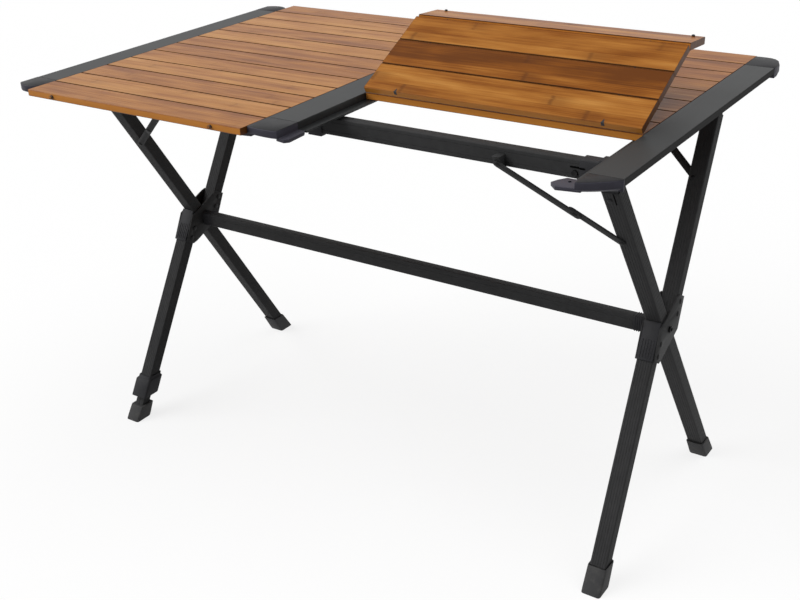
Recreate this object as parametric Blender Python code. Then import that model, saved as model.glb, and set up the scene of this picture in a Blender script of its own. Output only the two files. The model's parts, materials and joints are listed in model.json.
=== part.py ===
"""Roll-top camping table on an X-shaped folding frame.

Units are metres and +Z is up. The origin is on the floor under the middle of the table top.
+X runs along the length of the table and +Y runs from its front to its rear. The frame and both
slat mats are modelled in the state where the front of the right mat is lifted and folded back.
"""
import bpy
import bmesh
from math import acos, atan, atan2, cos, hypot, pi, radians, sin, tan
from mathutils import Matrix, Vector

# Driving dimensions of the top
table_height = 0.709
top_length = 1.092
side_rail_width = 0.0496
middle_rail_width = 0.056
rail_wall = 0.0016
rail_edge_round = 0.0014
side_rail_lip = 0.014
side_rail_lip_height = 0.010
ledge_depth = 0.016
ledge_thickness = 0.003

# Driving dimensions of the slat mats
slat_count = 12
slat_pitch = 0.059
slat_gap = 0.0009
slat_thickness = 0.011
slat_edge_round = 0.0009
slat_end_play = 0.0006
lifted_slats = 4
mat_fold_angle = radians(153)
last_slat_bend = radians(30.6)
cord_inset = 0.059
cord_radius = 0.0013
bead_radius = 0.003
bead_length = 0.0042

# Driving dimensions of the moulded rail caps
rail_setback = 0.0643
right_cap_setback = 0.0255
right_cap_corner_cut = 0.036
right_cap_bulge = 0.004
right_rear_cap_setback = 0.002
right_rear_cap_corner_cut = 0.036
right_rear_cap_corner_sharpness = 5
left_cap_setback = 0.016
left_cap_bulge = 0.010
middle_cap_setback = 0.012
middle_cap_bulge = 0.003
cap_nose_height = 0.011
cap_undercut = 0.012
cap_bottom_drop = 0.0022
cap_top_round = 0.0012
cap_top_drop = 0.0001
cap_least_side = 0.002
side_wing_reach = 0.0405
middle_wing_reach = 0.018
wing_corner = 0.012
wing_thickness = 0.005
wing_root = 0.004
wing_front_inset = 0.003

# Driving dimensions of the two beams and what sits on them
beam_spacing = 0.386
beam_depth = 0.020
beam_height = 0.027
beam_wall = 0.0016
beam_corner = 0.0012
saddle_height = 0.0049
fitting_wall = 0.0016
fitting_sleeve_length = 0.028
fitting_block_length = 0.029
fitting_tongue_length = 0.040
fitting_tongue_root = 0.012
fold_axis_reach = 0.0016
middle_clip_width = 0.026
middle_clip_offset = -0.010
middle_clip_wall = 0.0024
middle_clip_hook = 0.004
middle_clip_hook_depth = 0.010

# Driving dimensions of the legs
hub_height = 0.358
leg_inset = 0.0528
leg_lean = atan(0.0273)
through_leg_set_out = 0.008
split_leg_set_out = 0.0128
split_leg_offset = 0.0225
split_leg_gap = 0.0105
leg_width = 0.0268
leg_depth = 0.0229
leg_wall = 0.0016
leg_corner = 0.002
leg_top_play = 0.0006
tongue_rivet_drop = 0.016
tongue_rivet_x = -0.0035

# Driving dimensions of the crossing
plate_thickness = 0.0025
plate_play = 0.0005
plate_reach = 0.057
plate_neck = 0.004
plate_edge_margin = 0.0035
plate_inner_margin = 0.002
plate_neck_step = 0.008
plate_corner = 0.007
plate_rivet_near = 0.027
plate_rivet_far = 0.047
sleeve_wall = 0.0024
sleeve_web_inset = 0.002
stretcher_depth = 0.017
stretcher_height = 0.025
stretcher_wall = 0.0014
stretcher_corner = 0.0012
plug_length = 0.024
plug_tongue_length = 0.020
plug_play = 0.0007
plug_corner = 0.001
pivot_radius = 0.004
pivot_head_radius = 0.0056
pivot_head_height = 0.0024
pivot_reach = 0.014

# Driving dimensions of the folding braces
brace_width = 0.012
brace_thickness = 0.0025
brace_leg_inset = 0.0064
brace_run = 0.1595
brace_beam_drop = 0.005
brace_leg_drop = 0.1225
brace_knuckle_share = 0.615
brace_overlap = 0.006
bracket_height = 0.020
bracket_pin_depth = 0.004

# Driving dimensions of the feet
boot_height = 0.038
boot_wall = 0.0024
boot_sole_thickness = 0.008
boot_sole_width = 0.0325
boot_sole_depth = 0.0365
boot_corner = 0.004
levelling_boot_height = 0.027
levelling_gap = 0.017
collar_height = 0.037
collar_step = 0.030
collar_wall = 0.0052
collar_upper_wall = 0.0025
collar_ramp = 0.003
collar_seat = 0.006
inner_tube_width = 0.0206
inner_tube_depth = 0.0170
inner_tube_wall = 0.0014
inner_tube_length = 0.130

# Fasteners and clearances
rivet_radius = 0.0022
rivet_head_radius = 0.0042
rivet_head_height = 0.0014
rivet_head_sink = 0.0002
hole_play = 0.0003
fit_gap = 0.0003
least_corner = 0.0003
rivet_segments = 8
pivot_segments = 12

# Lengths of the cutters, which only need to reach through what they cut
cutter_length = 0.08
cutter_overshoot = 0.001

# Heights and lines that follow from the driving dimensions
top_half_length = top_length / 2
side_rail_inner = top_half_length - side_rail_width
middle_rail_half = middle_rail_width / 2
slat_bottom = table_height - slat_thickness
ledge_top = slat_bottom - fit_gap
rail_bottom = ledge_top - ledge_thickness
mat_half_depth = slat_count * slat_pitch / 2
rail_half_length = mat_half_depth - rail_setback
cap_seam = -rail_half_length - fit_gap
cap_bottom = rail_bottom - cap_bottom_drop
beam_y = beam_spacing / 2
beam_top = rail_bottom - fit_gap - saddle_height
beam_z = beam_top - beam_height / 2
hub_x = top_half_length - leg_inset
brace_beam_height = beam_z - brace_beam_drop
brace_leg_height = beam_z - brace_leg_drop
brace_leg_end = hub_x - (brace_leg_height - hub_height) * tan(leg_lean) - brace_leg_inset
brace_beam_end = brace_leg_end - brace_run

# Slopes at which the legs run from the crossing to their places beside the beams
beam_rise = beam_z - hub_height
split_leg_reach = beam_y + split_leg_set_out
through_leg_angle = atan2(beam_y + through_leg_set_out, beam_rise)
split_leg_angle = acos(split_leg_offset / hypot(split_leg_reach, beam_rise)) - atan2(beam_rise, split_leg_reach)

# Colours of the powder-coated, moulded, rubber and bamboo pieces
frame_grey = (0.045, 0.045, 0.047)
rail_grey = (0.085, 0.088, 0.088)
moulded_black = (0.022, 0.022, 0.026)
rubber_black = (0.020, 0.020, 0.021)
bamboo_tan = (0.560, 0.300, 0.125)
steel_grey = (0.120, 0.120, 0.125)

scene = bpy.context.scene
for old_object in list(bpy.data.objects):
    bpy.data.objects.remove(old_object, do_unlink=True)


def material(name, colour, roughness, metallic):
    """A Principled material for one piece."""
    made = bpy.data.materials.new(name)
    made.use_nodes = True
    shader = made.node_tree.nodes["Principled BSDF"]
    shader.inputs["Base Color"].default_value = (*colour, 1.0)
    shader.inputs["Roughness"].default_value = roughness
    shader.inputs["Metallic"].default_value = metallic
    made.diffuse_color = (*colour, 1.0)
    return made


finishes = {
    "coated": (frame_grey, 0.45, 0.3),
    "rail": (rail_grey, 0.42, 0.3),
    "moulded": (moulded_black, 0.55, 0.0),
    "rubber": (rubber_black, 0.8, 0.0),
    "bamboo": (bamboo_tan, 0.5, 0.0),
    "steel": (steel_grey, 0.4, 0.8),
}
body_empties = {}


def body(name, origin, parent=None):
    """An empty on a moving group's joint axis, which carries the group's pieces."""
    empty = bpy.data.objects.new(name + "_axis", None)
    empty.empty_display_size = 0.03
    scene.collection.objects.link(empty)
    if parent:
        empty.parent = body_empties[parent][0]
        empty.location = Vector(origin) - body_empties[parent][1]
    else:
        empty.location = origin
    body_empties[name] = (empty, Vector(origin))


def piece(name, mesh, finish, group):
    """Show a mesh in world coordinates as one named piece of a group."""
    mesh.name = name
    made = bpy.data.objects.new(name, mesh)
    scene.collection.objects.link(made)
    made.parent = body_empties[group][0]
    made.matrix_parent_inverse = Matrix.Translation(-body_empties[group][1])
    mesh.materials.append(material(name, *finishes[finish]))
    mesh.set_sharp_from_angle(angle=radians(35))
    mesh.shade_smooth()
    return made


def mesh_from(bm):
    """Close a bmesh into a mesh whose faces point outward."""
    bmesh.ops.recalc_face_normals(bm, faces=bm.faces)
    mesh = bpy.data.meshes.new("shape")
    bm.to_mesh(mesh)
    bm.free()
    return mesh


def joined(meshes):
    """Put several separate solids into one mesh."""
    bm = bmesh.new()
    for mesh in meshes:
        bm.from_mesh(mesh)
    made = bpy.data.meshes.new("shapes")
    bm.to_mesh(made)
    bm.free()
    return made


def moved(mesh, matrix):
    """A copy of a mesh in another place, turned right side out if the matrix mirrors it."""
    bm = bmesh.new()
    bm.from_mesh(mesh)
    bm.transform(matrix)
    if matrix.determinant() < 0:
        bmesh.ops.reverse_faces(bm, faces=bm.faces)
    made = bpy.data.meshes.new("shape")
    bm.to_mesh(made)
    bm.free()
    return made


def combined(base, tools, operation):
    """Cut the tools out of the base, or weld them to it."""
    target = bpy.data.objects.new("target", base)
    scene.collection.objects.link(target)
    helpers = []
    for tool in tools:
        helper = bpy.data.objects.new("helper", tool)
        scene.collection.objects.link(helper)
        modifier = target.modifiers.new("combine", "BOOLEAN")
        modifier.operation = operation
        modifier.object = helper
        helpers.append(helper)
    bpy.context.view_layer.update()
    evaluated = target.evaluated_get(bpy.context.evaluated_depsgraph_get())
    made = bpy.data.meshes.new_from_object(evaluated)
    for helper in helpers + [target]:
        bpy.data.objects.remove(helper, do_unlink=True)
    return made


def prism(outline, length, holes=(), start=0.0):
    """Extrude a flat outline, with holes through it, along Z."""
    bm = bmesh.new()
    for loop in [outline, *holes]:
        verts = [bm.verts.new((x, y, start)) for x, y in loop]
        for first, second in zip(verts, verts[1:] + verts[:1]):
            bm.edges.new((first, second))
    bmesh.ops.triangle_fill(bm, use_beauty=True, use_dissolve=False, edges=bm.edges)
    side = bmesh.ops.extrude_face_region(bm, geom=bm.faces[:])
    top = [item for item in side["geom"] if isinstance(item, bmesh.types.BMVert)]
    bmesh.ops.translate(bm, vec=(0, 0, length), verts=top)
    return mesh_from(bm)


def loft(rings):
    """Skin a stack of rings that have the same number of points, and close both ends."""
    bm = bmesh.new()
    loops = [[bm.verts.new(point) for point in ring] for ring in rings]
    for lower, upper in zip(loops, loops[1:]):
        for i in range(len(lower)):
            j = (i + 1) % len(lower)
            bm.faces.new((lower[i], lower[j], upper[j], upper[i]))
    bm.faces.new(loops[0][::-1])
    bm.faces.new(loops[-1])
    return mesh_from(bm)


def box(low, high):
    """A plain block between two corners."""
    outline = [(low[0], low[1]), (high[0], low[1]), (high[0], high[1]), (low[0], high[1])]
    return prism(outline, high[2] - low[2], start=low[2])


def rectangle(width, depth, corner=0.0, x=0.0, y=0.0, facets=2):
    """Outline of a rectangle whose corners are cut by short facets."""
    if not corner:
        return [(x - width / 2, y - depth / 2), (x + width / 2, y - depth / 2),
                (x + width / 2, y + depth / 2), (x - width / 2, y + depth / 2)]
    points = []
    for turn in range(4):
        centre_x = (width / 2 - corner) * (1 if turn in (0, 3) else -1)
        centre_y = (depth / 2 - corner) * (1 if turn in (0, 1) else -1)
        for step in range(facets + 1):
            angle = (turn + step / facets) * pi / 2
            points.append((x + centre_x + corner * cos(angle), y + centre_y + corner * sin(angle)))
    return points


def circle(radius, x=0.0, y=0.0, segments=rivet_segments):
    """Outline of a circle."""
    angles = [2 * pi * i / segments for i in range(segments)]
    return [(x + radius * cos(angle), y + radius * sin(angle)) for angle in angles]


def tube(width, depth, wall, corner, length, start=0.0):
    """A hollow rectangular tube along Z."""
    inner = rectangle(width - 2 * wall, depth - 2 * wall, max(corner - wall, least_corner))
    return prism(rectangle(width, depth, corner), length, [inner], start)


def rod(radius, length, start=0.0, segments=rivet_segments):
    """A round bar along Z."""
    return prism(circle(radius, segments=segments), length, start=start)


def turned(steps, segments=rivet_segments):
    """A round fastener along Z from its (radius, height) steps, first to last."""
    rings = []
    for radius, height in steps:
        rings.append([(x, y, height) for x, y in circle(radius, segments=segments)])
    return loft(rings)


# Ways to lay a shape that was drawn along Z: along X (outline in Y and Z) or along Y (in X and Z)
along_x = Matrix(((0, 0, 1, 0), (1, 0, 0, 0), (0, 1, 0, 0), (0, 0, 0, 1)))
along_y = Matrix.Rotation(pi / 2, 4, "X")
mirror_x = Matrix.Diagonal((-1, 1, 1, 1))
mirror_y = Matrix.Diagonal((1, -1, 1, 1))

# The groups that move, each on its own joint axis
beam_outer_face = beam_y + beam_depth / 2
frame_front_edge = beam_outer_face + fitting_wall + 2 * fit_gap + fold_axis_reach
fold_seam_y = -mat_half_depth + lifted_slats * slat_pitch
body("top", (0, 0, table_height))
body("front_frame", (0, -frame_front_edge, rail_bottom - fit_gap), "top")
body("rear_frame", (0, 0, hub_height), "front_frame")
body("levelling_foot", (-hub_x, 0, hub_height), "rear_frame")
body("left_front_mat", (0, fold_seam_y, table_height), "top")


# Side rails and middle rail: hollow extrusions whose ledges carry the slat ends
def chambers(left, right, bottom, top, count):
    """Outlines of the hollows between the webs of an extrusion."""
    pitch = (right - left + rail_wall) / count
    width = pitch - rail_wall
    return [rectangle(width, top - bottom, x=left + i * pitch + width / 2, y=(top + bottom) / 2)
            for i in range(count)]


def side_rail():
    """The right rail, which has its ledge toward the mat and a thinner lip outside."""
    lip_inner = top_half_length - side_rail_lip
    lip_bottom = table_height - side_rail_lip_height
    outline = [
        (side_rail_inner - ledge_depth, rail_bottom),
        (lip_inner, rail_bottom),
        (lip_inner, lip_bottom),
        (top_half_length, lip_bottom),
        (top_half_length, table_height - rail_edge_round),
        (top_half_length - rail_edge_round, table_height),
        (side_rail_inner + rail_edge_round / 2, table_height),
        (side_rail_inner, table_height - rail_edge_round / 2),
        (side_rail_inner, ledge_top),
        (side_rail_inner - ledge_depth, ledge_top),
    ]
    top = table_height - rail_wall
    holes = chambers(side_rail_inner + rail_wall, lip_inner - rail_wall, rail_bottom + rail_wall, top, 2)
    holes += chambers(lip_inner, top_half_length - rail_wall, lip_bottom + rail_wall, top, 1)
    return moved(prism(outline, 2 * rail_half_length, holes, -rail_half_length), along_y)


def middle_rail():
    """The middle rail, which has a ledge on both sides."""
    half = [
        (middle_rail_half + ledge_depth, rail_bottom),
        (middle_rail_half + ledge_depth, ledge_top),
        (middle_rail_half, ledge_top),
        (middle_rail_half, table_height - rail_edge_round / 2),
        (middle_rail_half - rail_edge_round / 2, table_height),
    ]
    outline = half + [(-x, z) for x, z in reversed(half)]
    inner = middle_rail_half - rail_wall
    holes = chambers(-inner, inner, rail_bottom + rail_wall, table_height - rail_wall, 2)
    return moved(prism(outline, 2 * rail_half_length, holes, -rail_half_length), along_y)


right_rail_mesh = side_rail()
piece("right_rail", right_rail_mesh, "rail", "top")
piece("left_rail", moved(right_rail_mesh, mirror_x), "rail", "top")
piece("middle_rail", middle_rail(), "rail", "top")


# Rail caps: moulded noses that close the rail ends and reach under the first slat as wings
def cap(x_left, x_right, setback, cut_right, bulge, wings, sharpness=1):
    """A front cap between two sides, its nose cut back toward the right side; sharpness gathers the cut there."""
    steps = 6
    nose = -mat_half_depth + setback

    def ring(height, pull):
        points = [(x_left, cap_seam, height)]
        for i in range(steps + 1):
            share = i / steps
            y = nose + bulge * (1 - 4 * share * (1 - share))
            if cut_right:
                y = nose + cut_right * share ** sharpness - bulge * 4 * share * (1 - share)
            points.append((x_left + (x_right - x_left) * share, min(y + pull, cap_seam - cap_least_side), height))
        points.append((x_right, cap_seam, height))
        return points

    body_mesh = loft([ring(cap_bottom, cap_undercut), ring(table_height - cap_nose_height, 0),
                      ring(table_height - cap_top_round, 0), ring(table_height - cap_top_drop, cap_top_round)])
    plates = []
    for reach in wings:
        root = x_left if reach < 0 else x_right
        inner = root - wing_root if reach > 0 else root + wing_root
        tip = root + reach
        corner = wing_corner if abs(reach) > 2 * wing_corner else wing_corner / 2
        inward = corner if reach < 0 else -corner
        front = nose + wing_front_inset
        outline = [(inner, front + corner / 2), (tip + inward, front), (tip, front + corner),
                   (tip + inward / 3, cap_seam - corner), (tip + inward, cap_seam), (inner, cap_seam)]
        plates.append(prism(outline, wing_thickness, start=ledge_top - wing_thickness))
    return combined(body_mesh, plates, "UNION")


right_cap = cap(side_rail_inner, top_half_length, right_cap_setback, right_cap_corner_cut, right_cap_bulge,
                (-side_wing_reach,))
left_cap = cap(-top_half_length, -side_rail_inner, left_cap_setback, 0.0, left_cap_bulge, (side_wing_reach,))
middle_cap = cap(-middle_rail_half, middle_rail_half, middle_cap_setback, 0.0, middle_cap_bulge,
                 (-middle_wing_reach, middle_wing_reach))
right_rear_cap = cap(side_rail_inner, top_half_length, right_rear_cap_setback, right_rear_cap_corner_cut, 0.0,
                     (-side_wing_reach,), right_rear_cap_corner_sharpness)
for name, front, rear in (("right", right_cap, right_rear_cap), ("left", left_cap, left_cap),
                          ("middle", middle_cap, middle_cap)):
    piece(name + "_front_cap", front, "moulded", "top")
    piece(name + "_rear_cap", moved(rear, mirror_y), "moulded", "top")


# Bamboo slats: each mat has the same row of slats, numbered from the front
mat_inner = middle_rail_half + slat_end_play
mat_outer = side_rail_inner - slat_end_play
slat_length = mat_outer - mat_inner
slat_width = slat_pitch - slat_gap
slat_section = rectangle(slat_width, slat_thickness, slat_edge_round, y=-slat_thickness / 2, facets=1)
slat_mesh = moved(prism(slat_section, slat_length, start=mat_inner), along_x)


def slat_place(number):
    """Where a slat lies when its mat is flat, slat 1 at the front."""
    return Matrix.Translation((0, -mat_half_depth + (number - 0.5) * slat_pitch, table_height))


def turn_at(y, z, angle):
    """A turn about a line along X."""
    centre = Vector((0, y, z))
    return Matrix.Translation(centre) @ Matrix.Rotation(angle, 4, "X") @ Matrix.Translation(-centre)


def threaded(first, last, front_bead=False, rear_bead=False):
    """A run of slats of the right mat, held together by the two cords threaded through them."""
    slats = [moved(slat_mesh, slat_place(number)) for number in range(first, last + 1)]
    front_edge = slat_place(first).translation.y - slat_width / 2
    rear_edge = slat_place(last).translation.y + slat_width / 2
    inside = slat_width / 4

    def bead(edge, side):
        """Steps of a cord and its bead outside one edge, from the slat outward."""
        near = edge + side * fit_gap
        far = near + side * bead_length
        return [(cord_radius, near), (bead_radius, near), (bead_radius, far - side * bead_length / 4),
                (bead_radius * 0.7, far)]

    steps = bead(front_edge, -1)[::-1] if front_bead else [(cord_radius, front_edge + inside)]
    steps += bead(rear_edge, 1) if rear_bead else [(cord_radius, rear_edge - inside)]
    cord = turned([(radius, -y) for radius, y in reversed(steps)])
    cords = []
    for x in (mat_inner + cord_inset, mat_outer - cord_inset):
        place = Matrix.Translation((x, 0, table_height - slat_thickness / 2)) @ along_y
        cords.append(moved(cord, place))
    return combined(joined(slats), [joined(cords)], "UNION")


rear_mat = threaded(lifted_slats + 1, slat_count, rear_bead=True)
piece("right_rear_slats", rear_mat, "bamboo", "top")
piece("left_rear_slats", moved(rear_mat, mirror_x), "bamboo", "top")
front_mat = threaded(1, lifted_slats, front_bead=True)
piece("left_front_slats", moved(front_mat, mirror_x), "bamboo", "left_front_mat")

# The lifted part of the right mat is folded back over the seam behind its last slat, and its
# first slat is bent down again to the horizontal
fold_back = turn_at(fold_seam_y, table_height, -mat_fold_angle)
bend_height = table_height - slat_edge_round
first_bend = turn_at(-mat_half_depth + slat_pitch, bend_height, -last_slat_bend)
for number in range(lifted_slats, 0, -1):
    group = "right_slat_" + str(number)
    if number == lifted_slats:
        body(group, (0, fold_seam_y, table_height), "top")
    else:
        seam_height = bend_height if number == 1 else table_height
        seam = fold_back @ Vector((0, -mat_half_depth + number * slat_pitch, seam_height))
        body(group, seam, "right_slat_" + str(number + 1))
    if number == 1:
        piece(group, moved(threaded(1, 1, front_bead=True), fold_back @ first_bend), "bamboo", group)
    else:
        piece(group, moved(slat_mesh, fold_back @ slat_place(number)), "bamboo", group)

# Leg frames at the right end: origin at the crossing, Z up along the leg, Y toward its rear face
leaned = Matrix.Translation((hub_x, 0, hub_height)) @ Matrix.Rotation(-leg_lean, 4, "Y")
through_frame = leaned @ Matrix.Rotation(through_leg_angle, 4, "X")
split_frame = leaned @ Matrix.Rotation(-split_leg_angle, 4, "X")
across_leg = Matrix.Rotation(pi / 2, 4, "Y")
beam_bottom = beam_top - beam_height
fitting_bottom = beam_bottom - fit_gap - fitting_wall
leg_top_height = fitting_bottom - fit_gap - leg_depth / 2 * sin(through_leg_angle) - leg_top_play


def along_leg(height, angle, offset=0.0):
    """Distance from the crossing at which a leg reaches a height."""
    return (height - hub_height + offset * sin(angle)) / cos(angle)


def pin_hole(frame, position, length, turn):
    """A cutter for a rivet that crosses a leg at a place in the leg's frame."""
    place = frame @ Matrix.Translation(position) @ turn
    return moved(rod(rivet_hole, length, -length / 2), place)


# Rivets, drawn with the shank along Z and the head on top, and long pins with two heads
def rivet(grip):
    """A rivet with one outer head at the top of its grip and a plain end below."""
    top = rivet_head_height
    return turned([(rivet_radius, -grip), (rivet_radius, 0), (rivet_head_radius, 0),
                   (rivet_head_radius, top * 0.6), (rivet_head_radius * 0.7, top)])


def double_rivet(low, high):
    """A rivet with a head at both ends of its shank."""
    rim = rivet_head_height * 0.4
    return turned([(rivet_head_radius * 0.7, low - rivet_head_height), (rivet_head_radius, low - rim),
                   (rivet_head_radius, low), (rivet_radius, low), (rivet_radius, high),
                   (rivet_head_radius, high), (rivet_head_radius, high + rim),
                   (rivet_head_radius * 0.7, high + rivet_head_height)])


rivet_hole = rivet_radius + hole_play
pivot_hole = pivot_radius + hole_play
leg_face = leg_depth / 2


# Legs: straight tubes that cross the end of the table, and legs split in two at the crossing
def leg_tube(low, high, offset, frame, cutters):
    """A leg tube between two distances from the crossing, shifted off the crossing's line."""
    made = tube(leg_width, leg_depth, leg_wall, leg_corner, high - low, low)
    return combined(moved(made, frame @ Matrix.Translation((0, offset, 0))), cutters, "DIFFERENCE")


class Frame:
    """Sizes of one frame's leg at the beam: the through leg in front or the split leg behind."""

    def __init__(self, frame, angle, offset, side):
        self.frame = frame
        self.angle = angle
        self.offset = offset
        self.side = side
        self.top = along_leg(leg_top_height, angle, offset)
        self.face = offset + side * leg_face
        self.flat = Matrix.Translation((0, 0, hub_height)) @ Matrix.Rotation(-side * angle, 4, "X")
        self.tongue_rivet = Vector((tongue_rivet_x, offset, self.top - tongue_rivet_drop))


front = Frame(through_frame, through_leg_angle, 0.0, -1)
rear = Frame(split_frame, split_leg_angle, split_leg_offset, 1)


# Folding braces: two flat links on the outer faces of beam and leg, joined at a knuckle
def outward_plane(side):
    """Lays a shape drawn in a frame's slanting plane with its thickness toward the outside."""
    return Matrix(((1, 0, 0, 0), (0, 0, side, 0), (0, 1, 0, 0), (0, 0, 0, 1)))


def brace(frame):
    """The leg link, the beam link, the bracket and the three rivets of one right-hand brace."""
    side = frame.side
    face = frame.face

    def distance(height, depth):
        return (height - hub_height) / cos(frame.angle) + side * depth * tan(frame.angle)

    beam_end = Vector((brace_beam_end, distance(brace_beam_height, face)))
    leg_end = Vector((brace_leg_end, distance(brace_leg_height, face)))
    knuckle = beam_end.lerp(leg_end, brace_knuckle_share)

    def link(start, end, inner, tail_start, tail_end, holes):
        """A flat bar with round ends, from one pivot to the other."""
        run = (end - start).length
        half = brace_width / 2
        outline = []
        for i in range(7):
            angle = -pi / 2 + i * pi / 6
            outline.append((run + tail_end + half * cos(angle), half * sin(angle)))
        for i in range(7):
            angle = pi / 2 + i * pi / 6
            outline.append((-tail_start + half * cos(angle), half * sin(angle)))
        bar = prism(outline, brace_thickness, holes, start=inner)
        across = (end - start).normalized()
        tilt = Matrix(((across.x, -across.y, 0, start.x), (across.y, across.x, 0, start.y),
                       (0, 0, 1, 0), (0, 0, 0, 1)))
        return moved(bar, frame.flat @ outward_plane(side) @ tilt)

    leg_layer = abs(face) + fit_gap
    beam_layer = leg_layer + brace_thickness + fit_gap
    leg_link = link(knuckle, leg_end, leg_layer, brace_overlap, 0.0, [circle(rivet_hole)])
    beam_link = link(beam_end, knuckle, beam_layer, 0.0, brace_overlap, [])

    def pin(place, outer, grip):
        """A rivet whose head sits on the outer face of its link."""
        position = Matrix.Translation((place.x, place.y, outer - rivet_head_sink))
        return moved(rivet(grip - rivet_head_sink), frame.flat @ outward_plane(side) @ position)

    leg_pin = pin(leg_end, leg_layer + brace_thickness, brace_thickness + leg_wall + 4 * fit_gap)
    knuckle_pin = pin(knuckle, beam_layer + brace_thickness, 2 * brace_thickness + fit_gap)
    beam_pin = pin(beam_end, beam_layer + brace_thickness, brace_thickness + bracket_pin_depth)
    leg_link = combined(leg_link, [leg_pin], "UNION")
    beam_link = combined(beam_link, [knuckle_pin, beam_pin], "UNION")
    return leg_link, beam_link, beam_end, leg_end, beam_layer


def brace_bracket(frame, beam_end, beam_layer):
    """The wedge between the upright beam face and the slanting beam link."""
    low = brace_beam_height - bracket_height / 2
    high = brace_beam_height + bracket_height / 2
    wall = beam_outer_face + fit_gap
    reach = beam_layer - fit_gap

    def slant(height):
        """Distance from the table's middle to the inner face of the beam link."""
        return tan(frame.angle) * (height - hub_height) + reach / cos(frame.angle)

    outline = [(wall, low), (slant(low), low), (slant(high), high), (wall, high)]
    wedge = moved(prism(outline, brace_width, start=brace_beam_end - brace_width / 2), along_x)
    if frame.side < 0:
        wedge = moved(wedge, mirror_y)
    place = frame.flat @ outward_plane(frame.side) @ Matrix.Translation((beam_end.x, beam_end.y, reach))
    bore = moved(rod(rivet_hole, 2 * bracket_pin_depth, -bracket_pin_depth - fit_gap), place)
    return combined(wedge, [bore], "DIFFERENCE")


def tongue_pin(frame):
    """The rivet that holds a leg to the tongue of its end fitting."""
    head = leg_face + fit_gap
    place = frame.frame @ Matrix.Translation(frame.tongue_rivet) @ along_y
    return moved(double_rivet(-head, head), place)


def end_fitting(frame):
    """A sleeve on the beam end with a tongue that fills the top of the leg."""
    outer_depth = beam_depth + 2 * (fit_gap + fitting_wall)
    outer_height = beam_height + 2 * (fit_gap + fitting_wall)
    centre_y = frame.side * beam_y
    sleeve_start = fitting_block_x - fitting_sleeve_length
    outline = rectangle(outer_depth, outer_height, beam_corner, centre_y, beam_z)
    hollow = rectangle(beam_depth + 2 * fit_gap, beam_height + 2 * fit_gap, 0.0, centre_y, beam_z)
    shell = moved(prism(outline, fitting_sleeve_length + fitting_block_length, start=sleeve_start), along_x)
    cavity = moved(prism(hollow, fitting_sleeve_length + cutter_overshoot, start=sleeve_start - cutter_overshoot),
                   along_x)
    shell = combined(shell, [cavity], "DIFFERENCE")
    saddle = box((fitting_block_x, centre_y - outer_depth / 2 + beam_corner, beam_z),
                 (fitting_block_x + fitting_block_length, centre_y + outer_depth / 2 - beam_corner,
                  rail_bottom - fit_gap))
    tongue_outline = rectangle(leg_width - 2 * leg_wall - 2 * fit_gap, leg_depth - 2 * leg_wall - 2 * fit_gap)
    tongue = prism(tongue_outline, fitting_tongue_length, start=frame.top + fitting_tongue_root - fitting_tongue_length)
    tongue = moved(tongue, frame.frame @ Matrix.Translation((0, frame.offset, 0)))
    return combined(shell, [saddle, tongue, tongue_pin(frame)], "UNION")


fitting_block_x = hub_x - (leg_top_height - hub_height) * tan(leg_lean) - leg_width / 2 - fit_gap
beam_half_length = fitting_block_x - fit_gap


# Feet: rubber boots whose soles lie flat on the floor
def foot_ring(frame, offset, height, width, depth, shift=0.0):
    """A level ring around a leg's axis at a height."""
    axis = frame @ Vector((0, offset, along_leg(height, abs(angle_of(frame)), offset * side_of(frame))))
    return [(axis.x + x, axis.y + y + shift, height) for x, y in rectangle(width, depth, boot_corner)]


def side_of(frame):
    """1 for the split leg and -1 for the through leg."""
    return 1 if frame is split_frame else -1


def angle_of(frame):
    """Slope of a leg from the vertical."""
    return split_leg_angle if frame is split_frame else through_leg_angle


def leg_envelope(frame, offset, width, depth, low, high):
    """A solid block around a stretch of leg, used as a cutter."""
    block = prism(rectangle(width, depth), high - low, start=low)
    return moved(block, frame @ Matrix.Translation((0, offset, 0)))


def boot(frame, offset, height, width, depth):
    """A boot around a tube of the given width and depth."""
    slope = cos(angle_of(frame))
    low_width = boot_sole_width
    low_depth = boot_sole_depth
    high_width = leg_width + 2 * (fit_gap + boot_wall)
    high_depth = (leg_depth + 2 * (fit_gap + boot_wall)) / slope
    outer = loft([foot_ring(frame, offset, 0.0, low_width, low_depth),
                  foot_ring(frame, offset, boot_sole_thickness, low_width, low_depth),
                  foot_ring(frame, offset, height, high_width, high_depth)])
    low = foot_distance(frame, offset, depth)
    socket = leg_envelope(frame, offset, width + 2 * fit_gap, depth + 2 * fit_gap, low - fit_gap, low + cutter_length)
    return combined(outer, [socket], "DIFFERENCE")


def foot_distance(frame, offset, depth):
    """Distance from the crossing at which a tube ends above the sole."""
    angle = angle_of(frame)
    height = boot_sole_thickness + depth / 2 * sin(angle)
    return along_leg(height, angle, offset * side_of(frame))


# Front frame: through legs, front beam, stretcher, rear feet and all that is fixed to them
pivot_place = Matrix.Translation((hub_x, 0, hub_height)) @ across_leg
pivot_cut = moved(rod(pivot_hole, cutter_length, -cutter_length / 2, pivot_segments), pivot_place)
front_links = brace(front)
rear_links = brace(rear)
leg_pin_cutter = rod(rivet_hole, leg_depth, -leg_depth / 2)
front_pin_cut = moved(leg_pin_cutter, front.flat @ Matrix.Translation(
    (front_links[3].x, front.face, front_links[3].y)) @ along_y)
rear_pin_cut = moved(leg_pin_cutter, rear.flat @ Matrix.Translation(
    (rear_links[3].x, rear.face, rear_links[3].y)) @ along_y)
front_tongue_cut = pin_hole(front.frame, front.tongue_rivet, 2 * leg_depth, along_y)
rear_tongue_cut = pin_hole(rear.frame, rear.tongue_rivet, 2 * leg_depth, along_y)

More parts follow.
